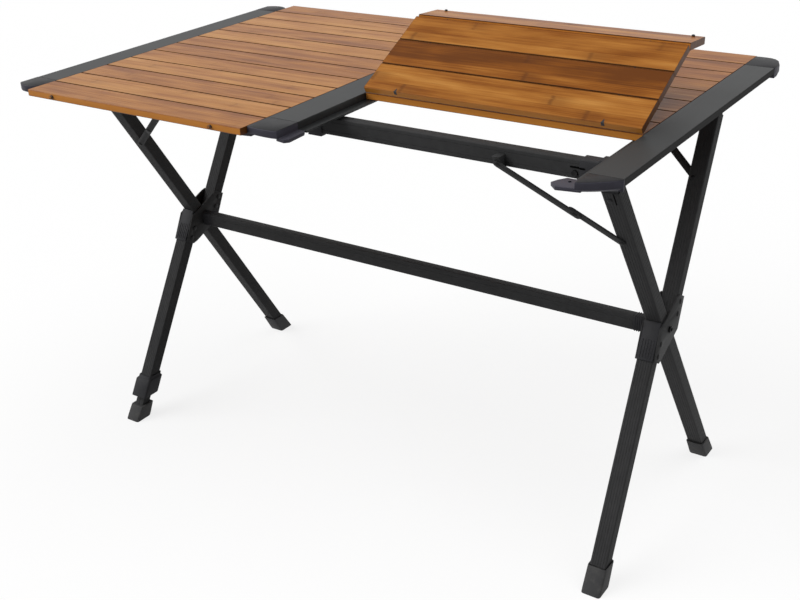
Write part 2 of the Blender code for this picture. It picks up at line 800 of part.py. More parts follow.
through_leg = leg_tube(foot_distance(through_frame, 0.0, leg_depth), front.top, 0.0, through_frame,
                       [pivot_cut, front_tongue_cut, front_pin_cut])
beam = moved(tube(beam_depth, beam_height, beam_wall, beam_corner, 2 * beam_half_length, -beam_half_length),
             Matrix.Translation((0, 0, beam_z)) @ along_x)


def middle_clip():
    """The clip that hooks the middle rail to the front beam."""
    half_depth = beam_depth / 2
    outer = -half_depth - fit_gap - middle_clip_wall
    inner = -half_depth - fit_gap
    top = rail_bottom - fit_gap - beam_z
    seat = beam_height / 2 + fit_gap
    hook_top = -beam_height / 2 - fit_gap
    hook_bottom = hook_top - middle_clip_hook
    outline = [(outer, top), (outer, hook_bottom), (inner + middle_clip_hook_depth, hook_bottom),
               (inner + middle_clip_hook_depth, hook_top), (inner, hook_top), (inner, seat),
               (half_depth, seat), (half_depth, top)]
    start = middle_clip_offset - middle_clip_width / 2
    made = prism(outline, middle_clip_width, start=start)
    return moved(made, Matrix.Translation((0, -beam_y, beam_z)) @ along_x)


# Crossing: two gusset plates on each split leg carry the pivot bolt of the through leg
plate_inner = leg_width / 2 + plate_play
plate_outer = plate_inner + plate_thickness
stretcher_end = hub_x - plate_outer - plate_play - plug_play
stretcher_half_length = stretcher_end - plug_length - fit_gap


def gusset_plate(inner_face, with_rivet_holes):
    """A Z-shaped plate in the split leg's frame, its outline in Y (depth) and Z (along the leg)."""
    edge = split_leg_offset + leg_depth / 2
    bulge = edge + plate_edge_margin
    inner_edge = split_leg_offset - leg_depth / 2 + plate_inner_margin
    neck = inner_edge - plate_neck_step
    shoulder = plate_reach - plate_corner
    half = [(edge, plate_reach), (bulge, plate_neck), (-neck, -shoulder), (-inner_edge, -plate_reach)]
    outline = half + [(-y, -z) for y, z in half]
    holes = []
    for distance in (plate_rivet_near, plate_rivet_far) if with_rivet_holes else ():
        holes.append(circle(rivet_hole, split_leg_offset, distance))
        holes.append(circle(rivet_hole, -split_leg_offset, -distance))
    flat = prism(outline, plate_thickness, holes, start=inner_face)
    return combined(moved(flat, split_frame @ along_x), [pivot_cut], "DIFFERENCE")


def crossing_rivets():
    """The rivets of the outer plate, through the split leg and the inner plate at the right end."""
    made = []
    inner_head = -plate_outer - fit_gap
    for distance in (plate_rivet_near, plate_rivet_far):
        for sign in (1, -1):
            place = split_frame @ Matrix.Translation((0, sign * split_leg_offset, sign * distance)) @ across_leg
            made.append(moved(double_rivet(inner_head, plate_outer - rivet_head_sink), place))
    return made


def hub_sleeve():
    """The moulded web between the plates in front of the lower half of the split leg."""
    front_face = -(split_leg_offset + leg_depth / 2 + fit_gap)
    outer_face = front_face - sleeve_wall
    turn = through_leg_angle + split_leg_angle
    clear = leg_depth / 2 + 2 * plate_play

    def beside(depth, extra):
        """Height at which the web stays clear of the through leg, at a depth."""
        return (-clear - extra - depth * cos(turn)) / sin(turn)

    inner_depth = -(split_leg_offset - leg_depth / 2 + sleeve_web_inset)
    outline = [(outer_face, -plate_reach), (front_face, -plate_reach), (front_face, beside(front_face, sleeve_wall)),
               (inner_depth, beside(inner_depth, sleeve_wall)), (inner_depth, beside(inner_depth, 0.0)),
               (outer_face, beside(outer_face, 0.0))]
    width = 2 * (plate_inner - fit_gap)
    return moved(prism(outline, width, start=-width / 2), split_frame @ along_x)


def stretcher_plug():
    """The ribbed plug that closes the stretcher and takes the pivot bolt."""
    head = tube_block(stretcher_depth, stretcher_height, plug_length, stretcher_end - plug_length)
    tongue_depth = stretcher_depth - 2 * stretcher_wall - 2 * fit_gap
    tongue_height = stretcher_height - 2 * stretcher_wall - 2 * fit_gap
    start = stretcher_end - plug_length - plug_tongue_length
    tongue = tube_block(tongue_depth, tongue_height, plug_tongue_length + plug_length / 2, start)
    bore = rod(pivot_hole, 2 * (plug_length + plug_tongue_length), -plug_length - plug_tongue_length, pivot_segments)
    bore = moved(bore, Matrix.Translation((stretcher_end, 0, hub_height)) @ across_leg)
    return combined(combined(head, [tongue], "UNION"), [bore], "DIFFERENCE")


def tube_block(depth, height, length, start):
    """A solid block along X at the stretcher's height."""
    return moved(prism(rectangle(depth, height, plug_corner), length, start=start),
                 Matrix.Translation((0, 0, hub_height)) @ along_x)


def pivot_bolt():
    """The bolt from the outer plate through the leg into the stretcher plug."""
    seat = plate_outer + 2 * plate_play
    shank_end = -(plate_outer + plate_play + plug_play + pivot_reach)
    steps = [(pivot_radius, shank_end), (pivot_radius, seat), (pivot_head_radius, seat),
             (pivot_head_radius, seat + pivot_head_height * 0.7),
             (pivot_head_radius * 0.8, seat + pivot_head_height)]
    return moved(turned(steps, pivot_segments), pivot_place)


stretcher = moved(tube(stretcher_depth, stretcher_height, stretcher_wall, stretcher_corner,
                       2 * stretcher_half_length, -stretcher_half_length),
                  Matrix.Translation((0, 0, hub_height)) @ along_x)
rear_foot = boot(through_frame, 0.0, boot_height, leg_width, leg_depth)
plug = stretcher_plug()
front_bracket = brace_bracket(front, front_links[2], front_links[4])
bolt = pivot_bolt()
front_end_fitting = end_fitting(front)

piece("front_beam", moved(beam, Matrix.Translation((0, -beam_y, 0))), "coated", "front_frame")
piece("front_middle_clip", middle_clip(), "moulded", "front_frame")
piece("stretcher", stretcher, "coated", "front_frame")
for name, place in (("right", Matrix()), ("left", mirror_x)):
    piece(name + "_through_leg", moved(through_leg, place), "coated", "front_frame")
    piece(name + "_stretcher_plug", moved(plug, place), "moulded", "front_frame")
    piece(name + "_pivot_bolt", moved(bolt, place), "steel", "front_frame")
    piece(name + "_front_brace_bracket", moved(front_bracket, place), "coated", "front_frame")
    piece(name + "_front_beam_fitting", moved(front_end_fitting, place), "moulded", "front_frame")
    piece(name + "_front_brace_leg_link", moved(front_links[0], place), "coated", "front_frame")
    piece(name + "_front_brace_beam_link", moved(front_links[1], place), "coated", "front_frame")
    piece(name + "_rear_foot", moved(rear_foot, place), "rubber", "front_frame")

# Rear frame: split legs on their plates, rear beam and all that is fixed to them
plate_cuts = []
for rivet_distance in (plate_rivet_near, plate_rivet_far):
    for rivet_side in (1, -1):
        position = Vector((0, rivet_side * split_leg_offset, rivet_side * rivet_distance))
        plate_cuts.append(pin_hole(split_frame, position, cutter_length, across_leg))
upper_leg = leg_tube(split_leg_gap, rear.top, split_leg_offset, split_frame,
                     [plate_cuts[0], plate_cuts[2], rear_tongue_cut, rear_pin_cut])
lower_cuts = [plate_cuts[1], plate_cuts[3]]
right_lower_end = foot_distance(split_frame, -split_leg_offset, leg_depth)
right_lower_leg = leg_tube(right_lower_end, -split_leg_gap, -split_leg_offset, split_frame, lower_cuts)
collar_bottom = levelling_boot_height + levelling_gap
left_lower_end = along_leg(collar_bottom + collar_seat, split_leg_angle, -split_leg_offset)
left_lower_leg = leg_tube(left_lower_end, -split_leg_gap, -split_leg_offset, split_frame, lower_cuts)


def levelling_collar():
    """The clamping collar around the foot of the left front leg, in two steps."""
    slope = cos(split_leg_angle)
    steps = ((collar_bottom, collar_wall), (collar_bottom + collar_step, collar_wall),
             (collar_bottom + collar_step + collar_ramp, collar_upper_wall),
             (collar_bottom + collar_height, collar_upper_wall))
    rings = [foot_ring(split_frame, -split_leg_offset, height, leg_width + 2 * (fit_gap + wall),
                       (leg_depth + 2 * (fit_gap + wall)) / slope) for height, wall in steps]
    outer = loft(rings)
    socket = leg_envelope(split_frame, -split_leg_offset, leg_width + 2 * fit_gap, leg_depth + 2 * fit_gap,
                          left_lower_end - fit_gap, left_lower_end + cutter_length)
    mouth = leg_envelope(split_frame, -split_leg_offset, inner_tube_width + 2 * fit_gap,
                         inner_tube_depth + 2 * fit_gap, left_lower_end - cutter_length,
                         left_lower_end + cutter_overshoot)
    return combined(outer, [socket, mouth], "DIFFERENCE")


inner_tube_low = foot_distance(split_frame, -split_leg_offset, inner_tube_depth)
inner_tube = moved(tube(inner_tube_width, inner_tube_depth, inner_tube_wall, leg_corner,
                        inner_tube_length, inner_tube_low),
                   split_frame @ Matrix.Translation((0, -split_leg_offset, 0)))
levelling_boot = boot(split_frame, -split_leg_offset, levelling_boot_height, inner_tube_width, inner_tube_depth)
rear_end_fitting = end_fitting(rear)
rear_bracket = brace_bracket(rear, rear_links[2], rear_links[4])

piece("rear_beam", moved(beam, Matrix.Translation((0, beam_y, 0))), "coated", "rear_frame")
piece("rear_middle_clip", moved(middle_clip(), mirror_y), "moulded", "rear_frame")
plate_mesh = combined(gusset_plate(plate_inner, False), crossing_rivets(), "UNION")
inner_plate_mesh = gusset_plate(-plate_outer, True)
sleeve_mesh = hub_sleeve()
for name, place in (("right", Matrix()), ("left", mirror_x)):
    piece(name + "_upper_split_leg", moved(upper_leg, place), "coated", "rear_frame")
    piece(name + "_outer_gusset_plate", moved(plate_mesh, place), "coated", "rear_frame")
    piece(name + "_inner_gusset_plate", moved(inner_plate_mesh, place), "coated", "rear_frame")
    piece(name + "_hub_sleeve", moved(sleeve_mesh, place), "moulded", "rear_frame")
    piece(name + "_rear_beam_fitting", moved(rear_end_fitting, place), "moulded", "rear_frame")
    piece(name + "_rear_brace_bracket", moved(rear_bracket, place), "coated", "rear_frame")
    piece(name + "_rear_brace_leg_link", moved(rear_links[0], place), "coated", "rear_frame")
    piece(name + "_rear_brace_beam_link", moved(rear_links[1], place), "coated", "rear_frame")
piece("right_lower_split_leg", right_lower_leg, "coated", "rear_frame")
piece("left_lower_split_leg", moved(left_lower_leg, mirror_x), "coated", "rear_frame")
piece("right_front_foot", boot(split_frame, -split_leg_offset, boot_height, leg_width, leg_depth),
      "rubber", "rear_frame")
piece("levelling_collar", moved(levelling_collar(), mirror_x), "moulded", "rear_frame")

# Levelling foot: the inner tube and boot that slide in and out of the left front leg
piece("levelling_inner_tube", moved(inner_tube, mirror_x), "coated", "levelling_foot")
piece("levelling_boot", moved(levelling_boot, mirror_x), "rubber", "levelling_foot")
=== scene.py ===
"""A folding camping table: two roll-top bamboo mats in dark aluminium rails on an X-shaped frame."""
import bpy
import bmesh
import json
from math import acos, atan, atan2, cos, hypot, pi, radians, sin
from mathutils import Matrix, Vector


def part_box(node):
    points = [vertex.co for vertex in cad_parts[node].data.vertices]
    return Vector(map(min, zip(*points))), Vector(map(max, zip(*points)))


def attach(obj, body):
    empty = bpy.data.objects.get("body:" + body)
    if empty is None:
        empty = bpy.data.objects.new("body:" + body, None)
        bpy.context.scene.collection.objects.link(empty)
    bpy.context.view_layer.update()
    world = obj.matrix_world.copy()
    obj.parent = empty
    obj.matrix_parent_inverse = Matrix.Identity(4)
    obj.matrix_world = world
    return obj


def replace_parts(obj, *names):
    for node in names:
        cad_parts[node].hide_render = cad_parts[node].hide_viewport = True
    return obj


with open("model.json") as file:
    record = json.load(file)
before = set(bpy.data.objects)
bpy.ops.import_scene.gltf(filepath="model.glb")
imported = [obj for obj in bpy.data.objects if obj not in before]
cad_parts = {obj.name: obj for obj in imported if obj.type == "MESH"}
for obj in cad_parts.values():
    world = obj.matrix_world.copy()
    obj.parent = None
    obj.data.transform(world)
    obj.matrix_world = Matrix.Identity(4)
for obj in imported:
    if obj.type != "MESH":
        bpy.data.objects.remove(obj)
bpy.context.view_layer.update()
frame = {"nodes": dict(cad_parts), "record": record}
nodes = frame["nodes"]
bodies = frame["record"]["behaviour"]["bodies"]
body_of_node = {node: body for body, members in bodies.items() for node in members}

# Camera: it stands 1.2 m above the ground, to the right of the table's front, and looks down at the top
# through a normal lens, held a little askew.
camera_place = Vector((1.0842, -1.5491, 1.2127))
camera_yaw = radians(35.1417)
camera_pitch = radians(26.1013)
camera_roll = radians(-2.541)
camera_data = bpy.data.cameras.new("camera")
camera_data.sensor_width = 36.0
camera_data.lens = 51.774
camera = bpy.data.objects.new("camera", camera_data)
bpy.context.scene.collection.objects.link(camera)
camera.matrix_world = (Matrix.Translation(camera_place) @ Matrix.Rotation(camera_yaw, 4, "Z")
                       @ Matrix.Rotation(pi / 2 - camera_pitch, 4, "X")
                       @ Matrix.Rotation(camera_roll, 4, "Z"))
bpy.context.scene.camera = camera
bpy.context.scene.view_settings.view_transform = "Standard"

# Studio: a sweep of white paper under and behind the table, which shows white to the eye and in shiny
# faces but gives only soft light, and two large soft lamps, the stronger one at the front left.
white = (1.0, 1.0, 1.0)
paper_light = 0.28
overhead_grey = (0.16, 0.16, 0.16)
paper_tones = [(0.50, white), (0.80, overhead_grey)]
lamp_spread = radians(50)
lamps = (("key_lamp", (-0.75, -0.6, 0.75), 2.2), ("top_lamp", (0.3, 0.1, 1.0), 1.0))
floor_reach = 30.0
floor_in_sight = (0.98, 0.98, 0.98, 1.0)
floor_as_light = (0.38, 0.38, 0.38, 1.0)
floor_glow = 0.80
floor_roughness = 0.9


class Socket:
    """One output of a shader node; arithmetic on it adds Math nodes to the same node tree."""

    def __init__(self, tree, output):
        self.tree = tree
        self.output = output

    def node(self, kind, settings=None, inputs=None, output=0):
        """Add a node: first its settings, then the value or link of each of its inputs."""
        made = self.tree.nodes.new(kind)
        for name, value in (settings or {}).items():
            if name == "stops":
                ramp = made.color_ramp.elements
                for index, (position, colour) in enumerate(value):
                    stop = ramp[index] if index < 2 else ramp.new(position)
                    stop.position = position
                    stop.color = (*colour, 1.0)
            else:
                setattr(made, name, value)
        for name, value in (inputs or {}).items():
            if isinstance(value, Socket):
                self.tree.links.new(value.output, made.inputs[name])
            else:
                made.inputs[name].default_value = value
        return Socket(self.tree, made.outputs[output])

    def math(self, operation, *values):
        return self.node("ShaderNodeMath", {"operation": operation}, dict(enumerate(values)))

    def __add__(self, other):
        return self.math("ADD", self, other)

    __radd__ = __add__

    def __sub__(self, other):
        return self.math("SUBTRACT", self, other)

    def __rsub__(self, other):
        return self.math("SUBTRACT", other, self)

    def __mul__(self, other):
        return self.math("MULTIPLY", self, other)

    __rmul__ = __mul__

    def parts(self):
        """The X, Y and Z of a place or direction."""
        split = self.node("ShaderNodeSeparateXYZ", {}, {0: self})
        return [Socket(self.tree, output) for output in split.output.node.outputs]

    def between(self, low, high):
        """0 below low, 1 above high and a smooth rise from one to the other."""
        return self.node("ShaderNodeMapRange", {"interpolation_type": "SMOOTHSTEP"},
                         {"Value": self, "From Min": low, "From Max": high})

    def away_from(self, value):
        """The distance of this value from another one."""
        gap = self - value
        return gap.math("ABSOLUTE", gap)

    def mixed(self, first, second):
        """A colour that goes from first to second as this socket goes from 0 to 1."""
        return self.node("ShaderNodeMix", {"data_type": "RGBA"}, {0: self, 6: first, 7: second}, output=2)

    def noise(self, scale, detail=2.0, roughness=0.5):
        """Soft noise over a place; a scale for each direction draws it out."""
        if isinstance(scale, tuple):
            drawn_out = self.node("ShaderNodeMapping", {}, {"Vector": self, "Scale": scale})
            return drawn_out.noise(1.0, detail, roughness)
        return self.node("ShaderNodeTexNoise", {}, {"Vector": self, "Scale": scale, "Detail": detail,
                                                    "Roughness": roughness})


def feed(shader, name, socket):
    """Link a socket to one input of a shader."""
    socket.tree.links.new(socket.output, shader.inputs[name])


def sight(tree):
    """1 for the rays that show the studio, directly or in a face, and 0 for those that carry its light."""
    kinds = tree.nodes.new("ShaderNodeLightPath").outputs
    direct = Socket(tree, kinds["Is Camera Ray"])
    reflected = Socket(tree, kinds["Is Glossy Ray"])
    through = Socket(tree, kinds["Is Transmission Ray"])
    return direct.math("MAXIMUM", direct.math("MAXIMUM", direct, reflected), through)


world = bpy.data.worlds.new("studio")
bpy.context.scene.world = world
world.use_nodes = True
sky = world.node_tree
sky.nodes.remove(sky.nodes["Background"])
height = Socket(sky, sky.nodes.new("ShaderNodeTexCoord").outputs["Generated"]).parts()[2]
paper_tone = height.node("ShaderNodeValToRGB", {"stops": paper_tones}, {0: height})
paper_seen = height.node("ShaderNodeBackground", {}, {"Color": paper_tone, "Strength": 1.0})
paper_fill = height.node("ShaderNodeBackground", {}, {"Color": (*white, 1.0), "Strength": paper_light})
sky_sight = sight(sky)
feed(sky.nodes["World Output"], "Surface",
     sky_sight.node("ShaderNodeMixShader", {}, {0: sky_sight, 1: paper_fill, 2: paper_seen}))

for lamp_name, lamp_side, lamp_power in lamps:
    lamp_data = bpy.data.lights.new(lamp_name, "SUN")
    lamp_data.angle = lamp_spread
    lamp_data.energy = lamp_power
    lamp = bpy.data.objects.new(lamp_name, lamp_data)
    bpy.context.scene.collection.objects.link(lamp)
    lamp.matrix_world = Vector(lamp_side).to_track_quat("Z", "Y").to_matrix().to_4x4()

floor_mesh = bpy.data.meshes.new("floor")
floor_bm = bmesh.new()
bmesh.ops.create_grid(floor_bm, x_segments=1, y_segments=1, size=floor_reach)
floor_bm.to_mesh(floor_mesh)
floor_bm.free()
floor = bpy.data.objects.new("floor", floor_mesh)
bpy.context.scene.collection.objects.link(floor)
floor_paint = bpy.data.materials.new("floor_paint")
floor_paint.use_nodes = True
paint = floor_paint.node_tree
matt = paint.nodes["Principled BSDF"]
matt.inputs["Roughness"].default_value = floor_roughness
matt.inputs["Specular IOR Level"].default_value = 0.0
floor_sight = sight(paint)
feed(matt, "Base Color", floor_sight.mixed(floor_as_light, floor_in_sight))
lit_floor = Socket(paint, matt.outputs[0])
white_floor = floor_sight.node("ShaderNodeEmission", {}, {"Strength": 1.0})
feed(paint.nodes["Material Output"], "Surface",
     floor_sight.node("ShaderNodeMixShader", {}, {0: floor_sight * floor_glow, 1: lit_floor, 2: white_floor}))
floor_mesh.materials.append(floor_paint)


# Bamboo mats: slats of three laminated strips each, planed, varnished and cut to one length, with the
# joints of the cane showing as darker bars across single strips. Every slat has its own tone.
mat_front = -0.354
slat_pitch = 0.059
slat_thickness = 0.011
table_height = 0.709
strips_in_slat = 3
mat_low, mat_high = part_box("right_slat_2")
mat_middle = (mat_low[0] + mat_high[0]) / 2
mat_half_length = (mat_high[0] - mat_low[0]) / 2
grain_scale = (5.0, 420.0, 60.0)
fibre_scale = (22.0, 2100.0, 700.0)
cloud_scale = (8.0, 42.0, 20.0)
cane_tones = [(0.0, (0.50, 0.225, 0.050)), (1.0, (0.135, 0.040, 0.006)), (0.32, (0.40, 0.155, 0.027)),
              (0.66, (0.25, 0.079, 0.010))]
joint_brown = (0.10, 0.030, 0.006, 1.0)
fibre_brown = (0.13, 0.038, 0.007, 1.0)
seam_shade_brown = (0.040, 0.014, 0.004, 1.0)
glue_brown = (0.12, 0.036, 0.006, 1.0)
cut_and_painted_light_orange = (0.60, 0.235, 0.040, 1.0)
end_grain_brown = (0.070, 0.021, 0.005, 1.0)
slat_key_step = 7.31
mat_key_step = 61.7
strip_key_step = 1.93
face_key_step = 3.77
joints_per_metre = 3.2
varnish_roughness = 0.40
varnish_shine = 0.13
varnish_coat = 0.035
varnish_coat_roughness = 0.18


def new_finish(name):
    """An empty material, its shader, and the place on the object that it is asked for."""
    made = bpy.data.materials.new(name)
    made.use_nodes = True
    tree = made.node_tree
    shader = tree.nodes["Principled BSDF"]
    place = Socket(tree, tree.nodes.new("ShaderNodeTexCoord").outputs["Object"])
    return made, shader, place


def relief(shader, height, strength, distance):
    """Turn a height into a bump on the shader's normal."""
    feed(shader, "Normal", height.node("ShaderNodeBump", {}, {"Strength": strength, "Distance": distance,
                                                              "Height": height}))


def chance(key):
    """A number from 0 to 1 that stays the same wherever the key does."""
    return key.node("ShaderNodeTexWhiteNoise", {"noise_dimensions": "1D"}, {"W": key})


def bamboo(name, turn, hinge, flat_hinge, seed, painted_top_shade=0.0, under_shade=0.0):
    """Varnished bamboo; turn and the two hinges lay the coordinates of a lifted slat flat again."""
    made, shader, place = new_finish(name)
    shift = Vector((0, *flat_hinge)) - Matrix.Rotation(turn, 3, "X") @ Vector((0, *hinge))
    place = place.node("ShaderNodeMapping", {}, {"Vector": place, "Rotation": (turn, 0, 0),
                                                 "Location": shift})
    x, y, z = place.parts()

    # The slat, strip and face that a point lies on
    across = (y - mat_front) * (1 / slat_pitch)
    slat = across.math("FLOOR", across)
    in_slat = across.math("FRACT", across)
    strip_run = in_slat * strips_in_slat
    strip = strip_run.math("FLOOR", strip_run)
    from_middle = z - (table_height - slat_thickness / 2)
    under = from_middle.math("LESS_THAN", from_middle, 0.0)
    flat_face = from_middle.away_from(0.0).between(0.0038, 0.0047)
    right_half = x.math("GREATER_THAN", x, 0.0)
    slat_key = slat * slat_key_step + right_half * mat_key_step + seed
    strip_key = slat_key + strip * strip_key_step + under * face_key_step

    # The grain, the loose fibres and the joints of the cane
    grain = place.noise(grain_scale, 5.0, 0.65)
    fibres = place.noise(fibre_scale, 3.0)
    clouds = place.noise(cloud_scale, 3.0)
    joint_run = x * joints_per_metre + chance(strip_key + 11.3) * 5.0
    joint_place = joint_run.math("FRACT", joint_run) + (grain - 0.5) * 0.04
    joint_core = 1 - joint_place.away_from(0.5).between(0.0, 0.02)
    joint_halo = 1 - joint_place.away_from(0.53).between(0.0, 0.11)
    joint_shown = chance(strip_key + 29.1).between(0.3, 0.8)
    joint_mark = (joint_core * 0.40 + joint_halo * 0.30) * joint_shown * (0.45 + under * 0.55)
    strip_contrast = 0.24 + under * 0.26
    slat_contrast = 0.45 - under * 0.3
    # The extra offset for the top darkens the flat tops as painted shade.
    tone = ((chance(strip_key) - 0.5) * strip_contrast + (chance(slat_key) - 0.5) * slat_contrast
            + (grain - 0.5) * 0.85 + (clouds - 0.5) * 1.2 + (0.40 + painted_top_shade)
            + under * (0.12 + under_shade))

    # The painted shade along the seams, where the gaps between slats and their chamfers lie in shade; the
    # sawn sides of the slats, painted brighter partly for the light from the front; their ends, and the glue lines
    from_slat_middle = in_slat.away_from(0.5)
    open_seam = across.away_from(4.0).between(0.05, 0.06)
    inside_mat = 1 - across.away_from(6.0).between(5.93, 5.95)
    # Painted shade: the chamfers beside each seam are darkened to brown-black, and made rougher and less glossy.
    painted_seam_shade = from_slat_middle.between(0.460, 0.474) * flat_face
    painted_seam_shade = painted_seam_shade * (1 - right_half + right_half * open_seam) * inside_mat * 0.95
    # The sawn front and rear sides of each slat take a brighter orange: partly the colour of the fresh cut, partly
    # painted light from the front.
    cut_side_painted_light = from_slat_middle.between(0.4885, 0.4905) * (1 - flat_face)
    from_mat_middle = x.math("ABSOLUTE", x).away_from(mat_middle)
    end_grain = from_mat_middle.between(mat_half_length - 0.0006, mat_half_length - 0.0002)
    glue = strip_run.math("FRACT", strip_run).away_from(0.5).between(0.48, 0.5) * 0.25

    # The colours, from the cane to the marks on it, under a thin satin varnish
    colour = tone.node("ShaderNodeValToRGB", {"stops": cane_tones}, {"Fac": tone})
    colour = joint_mark.mixed(colour, joint_brown)
    colour = (fibres.between(0.5, 0.75) * 0.42).mixed(colour, fibre_brown)
    colour = painted_seam_shade.mixed(colour, seam_shade_brown)
    colour = glue.mixed(colour, glue_brown)
    colour = (cut_side_painted_light * 0.75).mixed(colour, cut_and_painted_light_orange)
    colour = (end_grain * 0.85).mixed(colour, end_grain_brown)
    feed(shader, "Base Color", colour)
    feed(shader, "Roughness", varnish_roughness + (grain - 0.5) * 0.25 + joint_mark * 0.1 + painted_seam_shade * 0.5)
    feed(shader, "Coat Weight", varnish_coat - painted_seam_shade * varnish_coat)
    shader.inputs["Specular IOR Level"].default_value = varnish_shine
    shader.inputs["Coat Roughness"].default_value = varnish_coat_roughness
    relief(shader, grain * 0.6 + fibres * 0.4 - joint_core * joint_shown * 0.5, 0.3, 0.0004)
    return made


def refinish(node, finish):
    """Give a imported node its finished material."""
    for material_slot in nodes[node].material_slots:
        material_slot.link = "OBJECT"
        material_slot.material = finish


fold_seam = (-0.118, table_height)
fold_angle = radians(153)
bend_angle = radians(30.6)
bend_line = (0.039299, 0.790158)
flat_bend_line = (-0.295, 0.7081)
lifted_seed = 4.0
# The flat slats behind the lifted mat are painted darker: painted shade where the lifted mat shades them and shows
# dark in their varnish.
for node, shade in (("left_rear_slats", 0.0), ("left_front_slats", 0.02), ("right_rear_slats", 0.18)):
    refinish(node, bamboo(node + "_bamboo", 0.0, fold_seam, fold_seam, 0.0, painted_top_shade=shade))
for number, shade in ((2, -0.02), (3, 0.36), (4, -0.19)):
    node = "right_slat_" + str(number)
    lifted_bamboo = bamboo(node + "_bamboo", fold_angle, fold_seam, fold_seam, lifted_seed,
                           under_shade=shade)
    refinish(node, lifted_bamboo)
bent_bamboo = bamboo("right_slat_1_bamboo", fold_angle + bend_angle, bend_line, flat_bend_line, lifted_seed)
refinish("right_slat_1", bent_bamboo)


# Cords: two black braided cords are threaded through each mat near the slat ends. They show as short
# dark loops in the seams between slats and end in a moulded bead at the front and rear edge.
cord_black = (0.012, 0.010, 0.010, 1.0)
cord_grey = (0.035, 0.032, 0.034, 1.0)
cord_finish, cord_shader, cord_place = new_finish("black_cord")
cord_twist = cord_place.noise(900.0)
feed(cord_shader, "Base Color", cord_twist.mixed(cord_black, cord_grey))
feed(cord_shader, "Roughness", 0.55 + cord_twist * 0.25)
relief(cord_shader, cord_twist, 0.4, 0.0003)
cord_x = (0.0876, 0.4368)
loop_length = 0.0062
loop_width = 0.0022
loop_height = slat_thickness * 0.93
bead_size = 0.0033
bead_length = 0.0042
bead_seat = 0.0002
slats_in_mat = 12
slats_in_fold = 4
smooth_below = radians(35)
flat_middle = table_height - slat_thickness / 2
fold_back = (Matrix.Translation((0, *fold_seam)) @ Matrix.Rotation(-fold_angle, 4, "X")
             @ Matrix.Translation((0, -fold_seam[0], -fold_seam[1])))
first_bend = (Matrix.Translation((0, *bend_line)) @ Matrix.Rotation(-bend_angle, 4, "X")
              @ Matrix.Translation((0, -bend_line[0], -bend_line[1])))


def shown(name, bm, finish, body):
    """Turn a bmesh into a finished piece that rides on a body."""
    mesh = bpy.data.meshes.new(name)
    bm.to_mesh(mesh)
    bm.free()
    made = bpy.data.objects.new(name, mesh)
    bpy.context.scene.collection.objects.link(made)
    mesh.materials.append(finish)
    mesh.set_sharp_from_angle(angle=smooth_below)
    mesh.shade_smooth()
    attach(made, body)
    return made


def settle(bm, verts, place):
    """Bring new vertices to their place; the faces of a mirrored piece are turned outwards again."""
    bmesh.ops.transform(bm, matrix=place, verts=verts)
    if place.determinant() < 0:
        bmesh.ops.reverse_faces(bm, faces=list({face for vert in verts for face in vert.link_faces}))


def add_loop(bm, place):
    """A short flattened stretch of cord lying across a seam."""
    made = bmesh.ops.create_uvsphere(bm, u_segments=12, v_segments=8, radius=0.5)["verts"]
    settle(bm, made, place @ Matrix.Diagonal((loop_length, loop_width, loop_height, 1)))


def add_boss(bm, place, sides, radius, taper, depth, rim, sink):
    """A turned or six-sided boss along Z, its far end narrower by the taper and sunk inside a rim."""
    known = set(bm.verts)
    made = bmesh.ops.create_cone(bm, cap_ends=True, segments=sides, radius1=radius, radius2=radius * taper,
                                 depth=depth)["verts"]
    end = max({face for vert in made for face in vert.link_faces},
              key=lambda face: face.calc_center_median().z)
    bmesh.ops.inset_region(bm, faces=[end], thickness=rim)
    bmesh.ops.translate(bm, verts=end.verts[:], vec=(0, 0, -sink))
    settle(bm, [vert for vert in bm.verts if vert not in known], place)


def add_bead(bm, place):
    """A barrel-shaped bead with a hollow end, its axis along Y."""
    add_boss(bm, place @ Matrix.Rotation(pi / 2, 4, "X"), sides=20, radius=bead_size, taper=0.8,
             depth=bead_length, rim=bead_size * 0.35, sink=0.0012)


def seam_place(x, seam):
    """The middle of a seam between two flat slats, counted from the front."""
    return Matrix.Translation((x, mat_front + seam * slat_pitch, flat_middle))


def front_bead_place(x):
    """Where a bead rests against the front edge of a flat mat."""
    return Matrix.Translation((x, mat_front - bead_length / 2 + bead_seat, flat_middle))


def rear_bead_place(x):
    """Where a bead rests against the rear edge of a mat."""
    return (Matrix.Translation((x, -mat_front + bead_length / 2 - bead_seat, flat_middle))
            @ Matrix.Rotation(pi, 4, "Z"))


for side_name, side in (("right", 1), ("left", -1)):
    cord_ends = bmesh.new()
    for seam in range(slats_in_fold + 1, slats_in_mat):
        for x in cord_x:
            add_loop(cord_ends, seam_place(side * x, seam))
    for x in cord_x:
        add_bead(cord_ends, rear_bead_place(side * x))
    shown(side_name + "_rear_cord_ends", cord_ends, cord_finish, "top")
cord_ends = bmesh.new()
for seam in range(1, slats_in_fold + 1):
    for x in cord_x:
        add_loop(cord_ends, seam_place(-x, seam))
for x in cord_x:
    add_bead(cord_ends, front_bead_place(-x))
shown("left_front_cord_ends", cord_ends, cord_finish, "left_front_mat")
for seam in range(1, slats_in_fold):
    loops = bmesh.new()
    for x in cord_x:
        add_loop(loops, fold_back @ seam_place(x, seam))
    shown("right_cord_loops_" + str(seam), loops, cord_finish, "right_slat_" + str(seam))
beads = bmesh.new()
for x in cord_x:
    add_bead(beads, first_bend @ fold_back @ front_bead_place(x))
shown("right_front_cord_beads", beads, cord_finish, "right_slat_1")

